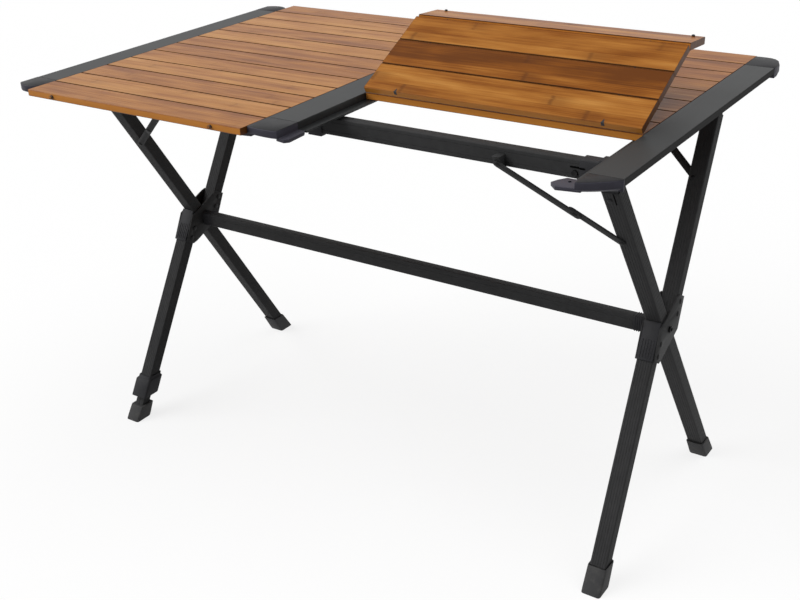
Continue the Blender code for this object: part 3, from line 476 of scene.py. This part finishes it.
# Knobs: small turned knobs of black plastic that stand up from the underside of the first slat near its
# ends. Each has a round head on a narrow neck, and the neck is pressed into the bamboo.
knob_x = (0.050, 0.480)
knob_inset = 0.0075
knob_profile = [(0.0, 0.0030), (0.0014, 0.0028), (0.0024, 0.0021), (0.0028, 0.0013), (0.0025, 0.0005),
                (0.0019, 0.0002), (0.0019, -0.0006)]
knobs = bmesh.new()
for x in knob_x:
    known = set(knobs.verts)
    rim = [knobs.verts.new((radius, 0, height)) for radius, height in knob_profile]
    edges = [knobs.edges.new(pair) for pair in zip(rim, rim[1:])]
    bmesh.ops.spin(knobs, geom=rim + edges, axis=(0, 0, 1), cent=(0, 0, 0), angle=2 * pi, steps=24,
                   use_merge=True)
    turned = [vert for vert in knobs.verts if vert not in known]
    bmesh.ops.remove_doubles(knobs, verts=turned, dist=1e-6)
    turned = [vert for vert in knobs.verts if vert not in known]
    foot = first_bend @ fold_back @ Vector((x, mat_front + knob_inset, table_height - slat_thickness))
    bmesh.ops.translate(knobs, verts=turned, vec=foot)
bmesh.ops.holes_fill(knobs, edges=knobs.edges, sides=0)
bmesh.ops.recalc_face_normals(knobs, faces=knobs.faces)
shown("right_cord_knobs", knobs, cord_finish, "right_slat_1")

# Cord slots: where the two cords leave the last lifted slat, its underside has a pointed slot, milled
# from the seam inwards and filled by the dark end of the cord.
slot_mouth = 0.0026
slot_tip = 0.0004
slot_start = 0.0003
slot_reach = 0.0075
slot_height = 0.0062
slot_z = table_height - slat_thickness - 0.0002
slots = bmesh.new()
for x in cord_x:
    outline = [(x - slot_mouth, slot_start), (x + slot_mouth, slot_start), (x + slot_tip, slot_reach),
               (x - slot_tip, slot_reach)]
    corners = [slots.verts.new((corner_x, fold_seam[0] - reach, slot_z)) for corner_x, reach in outline]
    face = slots.faces.new(corners)
    raised = bmesh.ops.extrude_face_region(slots, geom=[face])["geom"]
    bmesh.ops.translate(slots, verts=[item for item in raised if isinstance(item, bmesh.types.BMVert)],
                        vec=(0, 0, slot_height))
bmesh.ops.transform(slots, matrix=fold_back, verts=slots.verts)
bmesh.ops.recalc_face_normals(slots, faces=slots.faces)
shown("right_cord_slots", slots, cord_finish, "right_slat_4")


# Rails: extruded aluminium with a satin grey powder coat, lighter than the frame's; the outer side of
# each outer rail is painted near black and rougher as painted shade. The flat top of each shows faint
# draw lines along its length.
rail_dark = (0.016, 0.0175, 0.018)
rail_light = (0.023, 0.0245, 0.025)
rail_draw_lines = (320.0, 2.5, 320.0)
rail_side_painted_shade = (0.005, 0.005, 0.005, 1.0)


def coated(name, dark, light, roughness, draw_scale, shine, outer_side=None):
    """Powder coat on aluminium, with an orange-peel texture and faint lines along draw_scale; with outer_side, that
    side face is painted dark as painted shade.
    """
    made, shader, place = new_finish(name)
    draw_lines = place.noise(draw_scale, 4.0)
    peel = place.noise(1500.0)
    patches = place.noise(9.0, 3.0)
    colour = (draw_lines * 0.5 + patches * 0.5).between(0.3, 0.7).mixed((*dark, 1.0), (*light, 1.0))
    rough = roughness + (patches - 0.5) * 0.08 + (draw_lines - 0.5) * 0.06
    if outer_side:
        # Painted shade: the outer side face is darkened to near black and made rougher.
        side = place.parts()[0].away_from(0.0).between(outer_side - 0.0012, outer_side - 0.0004)
        colour = side.mixed(colour, rail_side_painted_shade)
        rough = rough + side * 0.35
    feed(shader, "Base Color", colour)
    feed(shader, "Roughness", rough)
    shader.inputs["Specular IOR Level"].default_value = shine
    relief(shader, peel * 0.7 + draw_lines * 0.3, 0.10, 0.0002)
    return made


rail_coat = coated("rail_coat", rail_dark, rail_light, roughness=0.46, draw_scale=rail_draw_lines, shine=0.26,
                   outer_side=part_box("right_rail")[1][0])
for node in ("left_rail", "middle_rail", "right_rail"):
    refinish(node, rail_coat)


# Rail caps: noses moulded in bluish black plastic, pushed into the rail ends and screwed from the
# side through the wing that reaches under the first slat.
cap_dark = (0.040, 0.038, 0.050)
cap_light = (0.056, 0.054, 0.070)
# Painted shade: the top faces of the caps, at table height, are painted darker and greyer than the bluish noses.
cap_top_painted_shade = (0.0185, 0.0185, 0.0205)
cap_rounding = 0.0009
crisp_above = radians(25)
flat_below = radians(0.5)


def moulded(name, dark, light, roughness, grain_size, top=None):
    """Injection-moulded plastic with a fine spark-eroded texture; a face at table height may be painted darker, as
    painted shade.
    """
    made, shader, place = new_finish(name)
    pits = place.noise(grain_size, 3.0)
    flow = place.noise(35.0)
    colour = (flow * 0.7 + pits * 0.3).between(0.3, 0.7).mixed((*dark, 1.0), (*light, 1.0))
    if top:
        # Painted shade on the faces at table height.
        cap_top_shade_mask = place.parts()[2].between(table_height - 0.0008, table_height - 0.0002)
        colour = cap_top_shade_mask.mixed(colour, (*top, 1.0))
    feed(shader, "Base Color", colour)
    feed(shader, "Roughness", roughness + (flow - 0.5) * 0.15)
    shader.inputs["Specular IOR Level"].default_value = 0.12
    relief(shader, pits, 0.25, 0.0002)
    return made


def eased(node, width, finish, segments=2):
    """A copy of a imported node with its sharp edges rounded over; it stands for the node."""
    bm = bmesh.new()
    bm.from_mesh(nodes[node].data)
    bmesh.ops.remove_doubles(bm, verts=bm.verts, dist=1e-5)
    bmesh.ops.dissolve_limit(bm, angle_limit=flat_below, verts=bm.verts, edges=bm.edges)
    crisp = [edge for edge in bm.edges if edge.is_manifold and edge.calc_face_angle(0.0) > crisp_above]
    bmesh.ops.bevel(bm, geom=crisp, offset=width, offset_type="OFFSET", affect="EDGES", segments=segments,
                    profile=0.5, material=-1, clamp_overlap=True)
    made = shown(node + "_finished", bm, finish, body_of_node[node])
    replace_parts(made, node)


cap_plastic = moulded("cap_plastic", cap_dark, cap_light, roughness=0.46, grain_size=1100.0,
                      top=cap_top_painted_shade)
for node in sorted(nodes):
    if node.endswith("_cap"):
        eased(node, cap_rounding, cap_plastic)

# Screw holes: one small countersunk hole in the wing of each outer cap, for the screw that fixes the cap.
# The screw lies deep in the plastic, so the hole lies in shade; it is drawn as a shallow dish painted
# near black with a faint mottle, painted shade that also fills the slits, slots and bolt sockets below.
painted_hole_shade = (0.001, 0.001, 0.001, 1.0)
painted_hole_shade_mottle = (0.004, 0.004, 0.004, 1.0)
hole_place = Vector((0.477, -0.302, 0.6978))
recess_painted_shade, recess_shader, recess_place = new_finish("recess_painted_shade")
recess_shade_mottle = recess_place.noise(300.0)
feed(recess_shader, "Base Color", recess_shade_mottle.mixed(painted_hole_shade, painted_hole_shade_mottle))
recess_shader.inputs["Roughness"].default_value = 0.9
recess_shader.inputs["Specular IOR Level"].default_value = 0.02
for end_name, end in (("front", 1), ("rear", -1)):
    holes = bmesh.new()
    for side in (1, -1):
        place = Matrix.Translation((side * hole_place.x, end * hole_place.y, hole_place.z))
        add_boss(holes, place, sides=20, radius=0.0024, taper=0.92, depth=0.0003, rim=0.0005, sink=0.0002)
    shown(end_name + "_cap_screw_holes", holes, recess_painted_shade, "top")


# Legs: drawn tubes with shallow flutes in each face. The through legs run from the front beam to the
# rear feet, and the split legs are cut at the crossing, their halves offset from one line.
frame_dark = (0.031, 0.031, 0.0315)
frame_light = (0.041, 0.041, 0.042)
frame_mottle = (90.0, 90.0, 90.0)
frame_coat = coated("frame_coat", frame_dark, frame_light, roughness=0.52, draw_scale=frame_mottle,
                    shine=0.07)
hub = Vector((0.4932, 0.0, 0.358))
beam_z = 0.676
beam_y = 0.193
through_top_y = beam_y + 0.008
split_top_y = beam_y + 0.0128
split_offset = 0.0225
leg_lean = atan(0.0273)
through_angle = atan2(through_top_y, beam_z - hub.z)
split_angle = acos(split_offset / hypot(split_top_y, beam_z - hub.z)) - atan2(beam_z - hub.z, split_top_y)
leg_width = 0.0268
leg_depth = 0.0229
leg_corner = 0.002
leg_flutes = (0.18, 0.34, 0.50, 0.66, 0.82)
flute_width = 0.0011
flute_depth = 0.0004
corner_steps = 3
through_leg_ends = (-0.4068, 0.3497)
split_leg_top = 0.3523
split_leg_cut = 0.0105
lower_leg_foot = {"right": -0.4084, "left": -0.3666}
leaned = Matrix.Translation(hub) @ Matrix.Rotation(-leg_lean, 4, "Y")
through_place = leaned @ Matrix.Rotation(through_angle, 4, "X")
split_place = leaned @ Matrix.Rotation(-split_angle, 4, "X")
mirror_x = Matrix.Diagonal((-1, 1, 1, 1))
both_sides = (("right", Matrix()), ("left", mirror_x))


def tube_section(width, depth, corner, flutes):
    """Outline of a tube; flutes holds, for each side in turn, where its flutes lie as shares of the side."""
    points = []
    for turn, shares in enumerate(flutes):
        run, rise = (depth, width) if turn % 2 else (width, depth)
        quarter = Matrix.Rotation(turn * pi / 2, 2)
        side = [(-run / 2 + corner, -rise / 2)]
        for share in shares:
            middle = -run / 2 + share * run
            side.append((middle - flute_width / 2, -rise / 2))
            side.append((middle - flute_width / 4, -rise / 2 + flute_depth))
            side.append((middle + flute_width / 4, -rise / 2 + flute_depth))
            side.append((middle + flute_width / 2, -rise / 2))
        side.append((run / 2 - corner, -rise / 2))
        for step in range(1, corner_steps):
            angle = -pi / 2 + step * pi / 2 / corner_steps
            side.append((run / 2 - corner + corner * cos(angle), -rise / 2 + corner + corner * sin(angle)))
        points += [quarter @ Vector(point) for point in side]
    return points


def drawn(section, low, high, place):
    """A bar of one section between two distances along its axis."""
    bm = bmesh.new()
    face = bm.faces.new([bm.verts.new((x, y, low)) for x, y in section])
    raised = bmesh.ops.extrude_face_region(bm, geom=[face])["geom"]
    bmesh.ops.translate(bm, verts=[item for item in raised if isinstance(item, bmesh.types.BMVert)],
                        vec=(0, 0, high - low))
    bmesh.ops.recalc_face_normals(bm, faces=bm.faces)
    settle(bm, bm.verts[:], place)
    return bm


leg_section = tube_section(leg_width, leg_depth, leg_corner, [leg_flutes] * 4)
for side_name, side_place in both_sides:
    lower_leg_ends = (lower_leg_foot[side_name], -split_leg_cut)
    legs = (("through_leg", through_place, 0.0, through_leg_ends, "front_frame"),
            ("upper_split_leg", split_place, split_offset, (split_leg_cut, split_leg_top), "rear_frame"),
            ("lower_split_leg", split_place, -split_offset, lower_leg_ends, "rear_frame"))
    for leg_name, place, offset, (low, high), body in legs:
        tube = drawn(leg_section, low, high, side_place @ place @ Matrix.Translation((0, offset, 0)))
        node = side_name + "_" + leg_name
        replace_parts(shown(node + "_finished", tube, frame_coat, body), node)


# Rivets: blackened steel rivets hold the legs on the tongues of the beam fittings and join the links of
# the braces. Only their dome heads show, pressed flat onto the tubes and bars.
steel_black = (0.002, 0.002, 0.002, 1.0)
steel_worn = (0.007, 0.007, 0.008, 1.0)
rivet_steel, rivet_shader, rivet_place = new_finish("blackened_steel")
rivet_wear = rivet_place.noise(420.0, 3.0)
feed(rivet_shader, "Base Color", rivet_wear.mixed(steel_black, steel_worn))
feed(rivet_shader, "Roughness", 0.38 + rivet_wear * 0.2)
rivet_shader.inputs["Specular IOR Level"].default_value = 0.16
relief(rivet_shader, rivet_wear, 0.15, 0.0002)
head_radius = 0.0050
head_height = 0.0019
small_head_radius = 0.0038
small_head_height = 0.0016
tongue_x = -0.0035
front_tongue_rivet = 0.3337
rear_tongue_rivet = 0.3364
leg_face = leg_depth / 2
link_thickness = 0.0028
knuckle_share = 0.615
toward_front = Matrix.Rotation(pi / 2, 4, "X")
toward_rear = Matrix.Rotation(-pi / 2, 4, "X")
toward_outside = Matrix.Rotation(pi / 2, 4, "Y")
toward_inside = Matrix.Rotation(-pi / 2, 4, "Y")
front_slope = Matrix.Translation((0, 0, hub.z)) @ Matrix.Rotation(through_angle, 4, "X")
rear_slope = Matrix.Translation((0, 0, hub.z)) @ Matrix.Rotation(-split_angle, 4, "X")
front_pins = (Vector((0.48146, 0.23852)), Vector((0.32196, 0.37752)))
rear_pins = (Vector((0.48146, 0.24384)), Vector((0.32196, 0.37885)))
rear_leg_rivet = (0.4815, split_offset - leg_face, 0.2434)


def add_dome(bm, place, radius=head_radius, height=head_height):
    """A dome head whose flat side lies on the XY plane of its place."""
    made = bmesh.ops.create_uvsphere(bm, u_segments=20, v_segments=12, radius=1.0)["verts"]
    edges = {edge for vert in made for edge in vert.link_edges}
    faces = {face for vert in made for face in vert.link_faces}
    cut = bmesh.ops.bisect_plane(bm, geom=made + list(edges) + list(faces), plane_co=(0, 0, 0.001),
                                 plane_no=(0, 0, 1), clear_inner=True)
    rim = [item for item in cut["geom_cut"] if isinstance(item, bmesh.types.BMEdge)]
    bmesh.ops.holes_fill(bm, edges=rim, sides=0)
    kept = {vert for vert in made if vert.is_valid}
    kept |= {item for item in cut["geom_cut"] if isinstance(item, bmesh.types.BMVert)}
    settle(bm, list(kept), place @ Matrix.Diagonal((radius, radius, height, 1)))


for side_name, side_place in both_sides:
    front_heads = bmesh.new()
    tongue_place = side_place @ through_place @ Matrix.Translation((tongue_x, 0, front_tongue_rivet))
    add_dome(front_heads, tongue_place @ Matrix.Translation((0, -leg_face, 0)) @ toward_front)
    add_dome(front_heads, tongue_place @ Matrix.Translation((0, leg_face, 0)) @ toward_rear)
    rear_heads = bmesh.new()
    tongue_place = side_place @ split_place @ Matrix.Translation((tongue_x, split_offset, rear_tongue_rivet))
    add_dome(rear_heads, tongue_place @ Matrix.Translation((0, leg_face, 0)) @ toward_rear)
    add_dome(rear_heads, tongue_place @ Matrix.Translation((0, -leg_face, 0)) @ toward_front)
    for slope, pins, face, heads, out, turn in (
            (front_slope, front_pins, leg_face, front_heads, -1, toward_front),
            (rear_slope, rear_pins, split_offset + leg_face, rear_heads, 1, toward_rear)):
        leg_pin, beam_pin = pins
        knuckle = beam_pin.lerp(leg_pin, knuckle_share)
        for pin, links in ((leg_pin, 1), (knuckle, 2), (beam_pin, 2)):
            spot = Matrix.Translation((pin.x, out * (face + links * link_thickness), pin.y))
            add_dome(heads, side_place @ slope @ spot @ turn)
    add_dome(rear_heads, side_place @ rear_slope @ Matrix.Translation(rear_leg_rivet) @ toward_front,
             small_head_radius, small_head_height)
    shown(side_name + "_front_frame_rivet_heads", front_heads, rivet_steel, "front_frame")
    shown(side_name + "_rear_frame_rivet_heads", rear_heads, rivet_steel, "rear_frame")

# Leg slits: the top of each through leg is slit beside its tongue rivet, so that the tube can close on
# the tongue of the beam fitting. The slit is milled through the front face and has round ends.
slit_width = 0.0018
slit_length = 0.024
slit_depth = 0.0006
slit_x = 0.0052


def add_slit(bm, place, width, length, depth):
    """A narrow slit with round ends and a sunk floor, as long as length along Z and facing along Y."""
    known = set(bm.verts)
    made = bmesh.ops.create_cube(bm, size=1.0)["verts"]
    bmesh.ops.scale(bm, vec=(width, depth, length), verts=made)
    corners = [edge for edge in {edge for vert in made for edge in vert.link_edges}
               if abs(edge.verts[0].co.y - edge.verts[1].co.y) > depth / 2]
    bmesh.ops.bevel(bm, geom=corners, offset=width * 0.48, affect="EDGES", segments=3, profile=0.5,
                    material=-1, clamp_overlap=True)
    whole = [vert for vert in bm.verts if vert not in known]
    for way in (1, -1):
        wall = max({face for vert in whole for face in vert.link_faces},
                   key=lambda face: way * face.calc_center_median().y)
        bmesh.ops.inset_region(bm, faces=[wall], thickness=width * 0.15)
        bmesh.ops.translate(bm, verts=wall.verts[:], vec=(0, -way * depth * 0.2, 0))
    settle(bm, [vert for vert in bm.verts if vert not in known], place)


# Each slit is a shallow recess in the near-black finish: painted shade for the open slit.
for side_name, side_place in both_sides:
    slit = bmesh.new()
    slit_middle = Matrix.Translation((slit_x, -leg_face, through_leg_ends[1] - slit_length / 2))
    add_slit(slit, side_place @ through_place @ slit_middle, slit_width, slit_length, slit_depth)
    shown(side_name + "_leg_slit", slit, recess_painted_shade, "front_frame")


# Beams: rectangular aluminium tubes under the front and rear ends of the rails, drawn with two shallow
# grooves along each upright face and coated like the legs.
beam_half = 0.4711
beam_depth = 0.020
beam_height = 0.027
beam_corner = 0.0012
beam_grooves = (0.24, 0.78)
along_x = Matrix(((0, 0, 1, 0), (1, 0, 0, 0), (0, 1, 0, 0), (0, 0, 0, 1)))
beam_section = tube_section(beam_depth, beam_height, beam_corner,
                            [(), beam_grooves, (), [1 - share for share in reversed(beam_grooves)]])
for end_name, end in (("front", -1), ("rear", 1)):
    bar = drawn(beam_section, -beam_half, beam_half, Matrix.Translation((0, end * beam_y, beam_z)) @ along_x)
    node = end_name + "_beam"
    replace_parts(shown(node + "_finished", bar, frame_coat, end_name + "_frame"), node)

# Beam fittings: moulded fittings pushed over the beam ends, each with a tongue that holds the leg, and a
# moulded clip in the middle of each beam that the middle rail snaps onto.
fitting_dark = (0.020, 0.020, 0.022)
fitting_light = (0.031, 0.031, 0.034)
fitting_rounding = 0.0006
fitting_plastic = moulded("fitting_plastic", fitting_dark, fitting_light, roughness=0.5, grain_size=1300.0)
for node in sorted(nodes):
    if node.endswith(("_beam_fitting", "_middle_clip")):
        eased(node, fitting_rounding, fitting_plastic)

# Lock buttons: a sprung steel button near each beam end locks the fitting on the beam, and above it a
# slot runs from the tube into the fitting.
button_radius = 0.0050
button_depth = 0.0028
button_x = 0.4360
button_y = 0.2040
button_z = 0.6705
beam_face = 0.2030
fitting_face = 0.2050
fitting_slot_z = 0.6790
fitting_slot_height = 0.0026
fitting_slot_depth = 0.0007
fitting_slot_runs = ((0.4285, 0.4432, beam_face), (0.4435, 0.4520, fitting_face))
for side_name, side_place in both_sides:
    for end_name, end, turn in (("front", -1, toward_front), ("rear", 1, toward_rear)):
        corner_name = side_name + "_" + end_name
        button = bmesh.new()
        place = side_place @ Matrix.Translation((button_x, end * button_y, button_z)) @ turn
        add_boss(button, place, sides=24, radius=button_radius, taper=0.86, depth=button_depth, rim=0.0014,
                 sink=0.0006)
        shown(corner_name + "_lock_button", button, rivet_steel, end_name + "_frame")
        slot = bmesh.new()
        for x_start, x_end, face in fitting_slot_runs:
            place = side_place @ Matrix.Translation(((x_start + x_end) / 2, end * face, fitting_slot_z))
            add_slit(slot, place @ Matrix.Rotation(pi / 2, 4, "Y"), fitting_slot_height, x_end - x_start,
                     fitting_slot_depth)
        # The slot is drawn in the near-black finish: painted shade for its inside.
        shown(corner_name + "_fitting_slot", slot, recess_painted_shade, end_name + "_frame")


# Stretcher: a rectangular aluminium tube between the two crossings, drawn with one groove below its top
# edge on each upright face and coated like the legs.
stretcher_half = 0.4513
stretcher_depth = 0.017
stretcher_height = 0.025
stretcher_groove = 0.70
stretcher_section = tube_section(stretcher_depth, stretcher_height, beam_corner,
                                 [(), (stretcher_groove,), (), (1 - stretcher_groove,)])
stretcher_bar = drawn(stretcher_section, -stretcher_half, stretcher_half,
                      Matrix.Translation((0, 0, hub.z)) @ along_x)
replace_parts(shown("stretcher_finished", stretcher_bar, frame_coat, "front_frame"),
            "stretcher")

# Stretcher plugs: moulded plugs pushed into the ends of the stretcher, with straight ribs around them
# that bear on the gusset plates.
plug_start = 0.4516
plug_end = 0.4756
plug_margin = 0.003
plug_ribs = 6
plug_rib_width = 0.0016
plug_rib_height = 0.0006
plug_rib_size = (plug_rib_width, stretcher_depth + 2 * plug_rib_height,
                 stretcher_height + 2 * plug_rib_height)
plug_rib_rounding = 0.0004


def add_rib(bm, place, size):
    """A straight rib of the given size, centred on its place."""
    settle(bm, bmesh.ops.create_cube(bm, size=1.0)["verts"], place @ Matrix.Diagonal((*size, 1)))


def round_ribs(bm, rounding):
    """Round all edges of a row of ribs."""
    bmesh.ops.bevel(bm, geom=bm.edges[:], offset=rounding, affect="EDGES", segments=2, profile=0.5,
                    material=-1)


for side_name, side_place in both_sides:
    eased(side_name + "_stretcher_plug", fitting_rounding, fitting_plastic)
    ribs = bmesh.new()
    for rib in range(plug_ribs):
        x = plug_start + plug_margin + rib * (plug_end - plug_start - 2 * plug_margin) / (plug_ribs - 1)
        add_rib(ribs, side_place @ Matrix.Translation((x, 0, hub.z)), plug_rib_size)
    round_ribs(ribs, plug_rib_rounding)
    shown(side_name + "_plug_ribs", ribs, fitting_plastic, "front_frame")


# Crossing: pressed gusset plates riveted over the ends of the split leg, a ribbed moulded sleeve
# between them, and a socket-head bolt through plates, leg and stretcher plug.
plate_outer = 0.0164
plate_inner = -0.0167
plate_rounding = 0.0005
plate_rivets = (0.027, 0.047)
bolt_rounding = 0.0004
bolt_head_height = 0.0035
sleeve_ribs = 5
sleeve_rib_start = -0.009
sleeve_rib_pitch = 0.0045
sleeve_rib_size = (0.0013, 0.0012, 0.030)
sleeve_rib_rounding = 0.0003
sleeve_wall = 0.0028
sleeve_face = -split_offset - leg_face - sleeve_wall
sleeve_middle = -0.038
for side_name, side_place in both_sides:
    for plate in ("outer", "inner"):
        eased(side_name + "_" + plate + "_gusset_plate", plate_rounding, frame_coat)
    eased(side_name + "_hub_sleeve", fitting_rounding, fitting_plastic)
    eased(side_name + "_pivot_bolt", bolt_rounding, rivet_steel)
    heads = bmesh.new()
    for distance in plate_rivets:
        for row in (1, -1):
            spot = side_place @ split_place @ Matrix.Translation((0, row * split_offset, row * distance))
            add_dome(heads, spot @ Matrix.Translation((plate_outer, 0, 0)) @ toward_outside)
            add_dome(heads, spot @ Matrix.Translation((plate_inner, 0, 0)) @ toward_inside)
    shown(side_name + "_plate_rivet_heads", heads, rivet_steel, "rear_frame")
    ribs = bmesh.new()
    for rib in range(sleeve_ribs):
        spot = Matrix.Translation((sleeve_rib_start + rib * sleeve_rib_pitch, sleeve_face, sleeve_middle))
        add_rib(ribs, side_place @ split_place @ spot, sleeve_rib_size)
    round_ribs(ribs, sleeve_rib_rounding)
    shown(side_name + "_sleeve_ribs", ribs, fitting_plastic, "rear_frame")
    # The hexagon socket of the bolt is a shallow recess in the near-black finish: painted shade for its depth.
    hexagon = bmesh.new()
    bolt_end = Matrix.Translation((0, 0, plate_outer + bolt_head_height))
    add_boss(hexagon, side_place @ Matrix.Translation(hub) @ toward_outside @ bolt_end, sides=6,
             radius=0.0030, taper=0.96, depth=0.0006, rim=0.0005, sink=0.0004)
    shown(side_name + "_bolt_socket", hexagon, recess_painted_shade, "front_frame")


# Braces: flat bars of coated aluminium from leg to beam, each of two links with a riveted knuckle between
# them, and the folded bracket under the beam that carries the upper link.
brace_rounding = 0.0005
for node in sorted(nodes):
    if "_brace_" in node:
        eased(node, brace_rounding, frame_coat)


# Feet: boots of black rubber pushed over the ends of the legs, with flat soles and softly rounded edges.
# The rubber is grainy and a little dusty from use outdoors.
rubber_black = (0.018, 0.018, 0.019, 1.0)
rubber_dusty = (0.045, 0.044, 0.043, 1.0)
boot_rounding = 0.0024
rubber, rubber_shader, rubber_place = new_finish("boot_rubber")
rubber_grain = rubber_place.noise(800.0, 3.0)
rubber_dust = rubber_place.noise(60.0, 4.0)
feed(rubber_shader, "Base Color", rubber_dust.between(0.4, 0.75).mixed(rubber_black, rubber_dusty))
feed(rubber_shader, "Roughness", 0.66 + rubber_dust * 0.2)
relief(rubber_shader, rubber_grain, 0.3, 0.0003)
for node in ("right_rear_foot", "left_rear_foot", "right_front_foot", "levelling_boot"):
    eased(node, boot_rounding, rubber, segments=3)


# Levelling foot: a lighter drawn tube with one flute in each face, which slides in the left front leg and
# carries the boot. A moulded collar on the end of the leg grips it.
inner_tube_width = 0.0206
inner_tube_depth = 0.0170
inner_tube_corner = 0.0015
inner_tube_ends = (-0.4101, -0.2801)
collar_rounding = 0.0018
inner_tube_section = tube_section(inner_tube_width, inner_tube_depth, inner_tube_corner, [(0.5,)] * 4)
inner_tube = drawn(inner_tube_section, *inner_tube_ends,
                   mirror_x @ split_place @ Matrix.Translation((0, -split_offset, 0)))
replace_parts(shown("levelling_inner_tube_finished", inner_tube, frame_coat, "levelling_foot"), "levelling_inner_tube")
eased("levelling_collar", collar_rounding, fitting_plastic, segments=3)
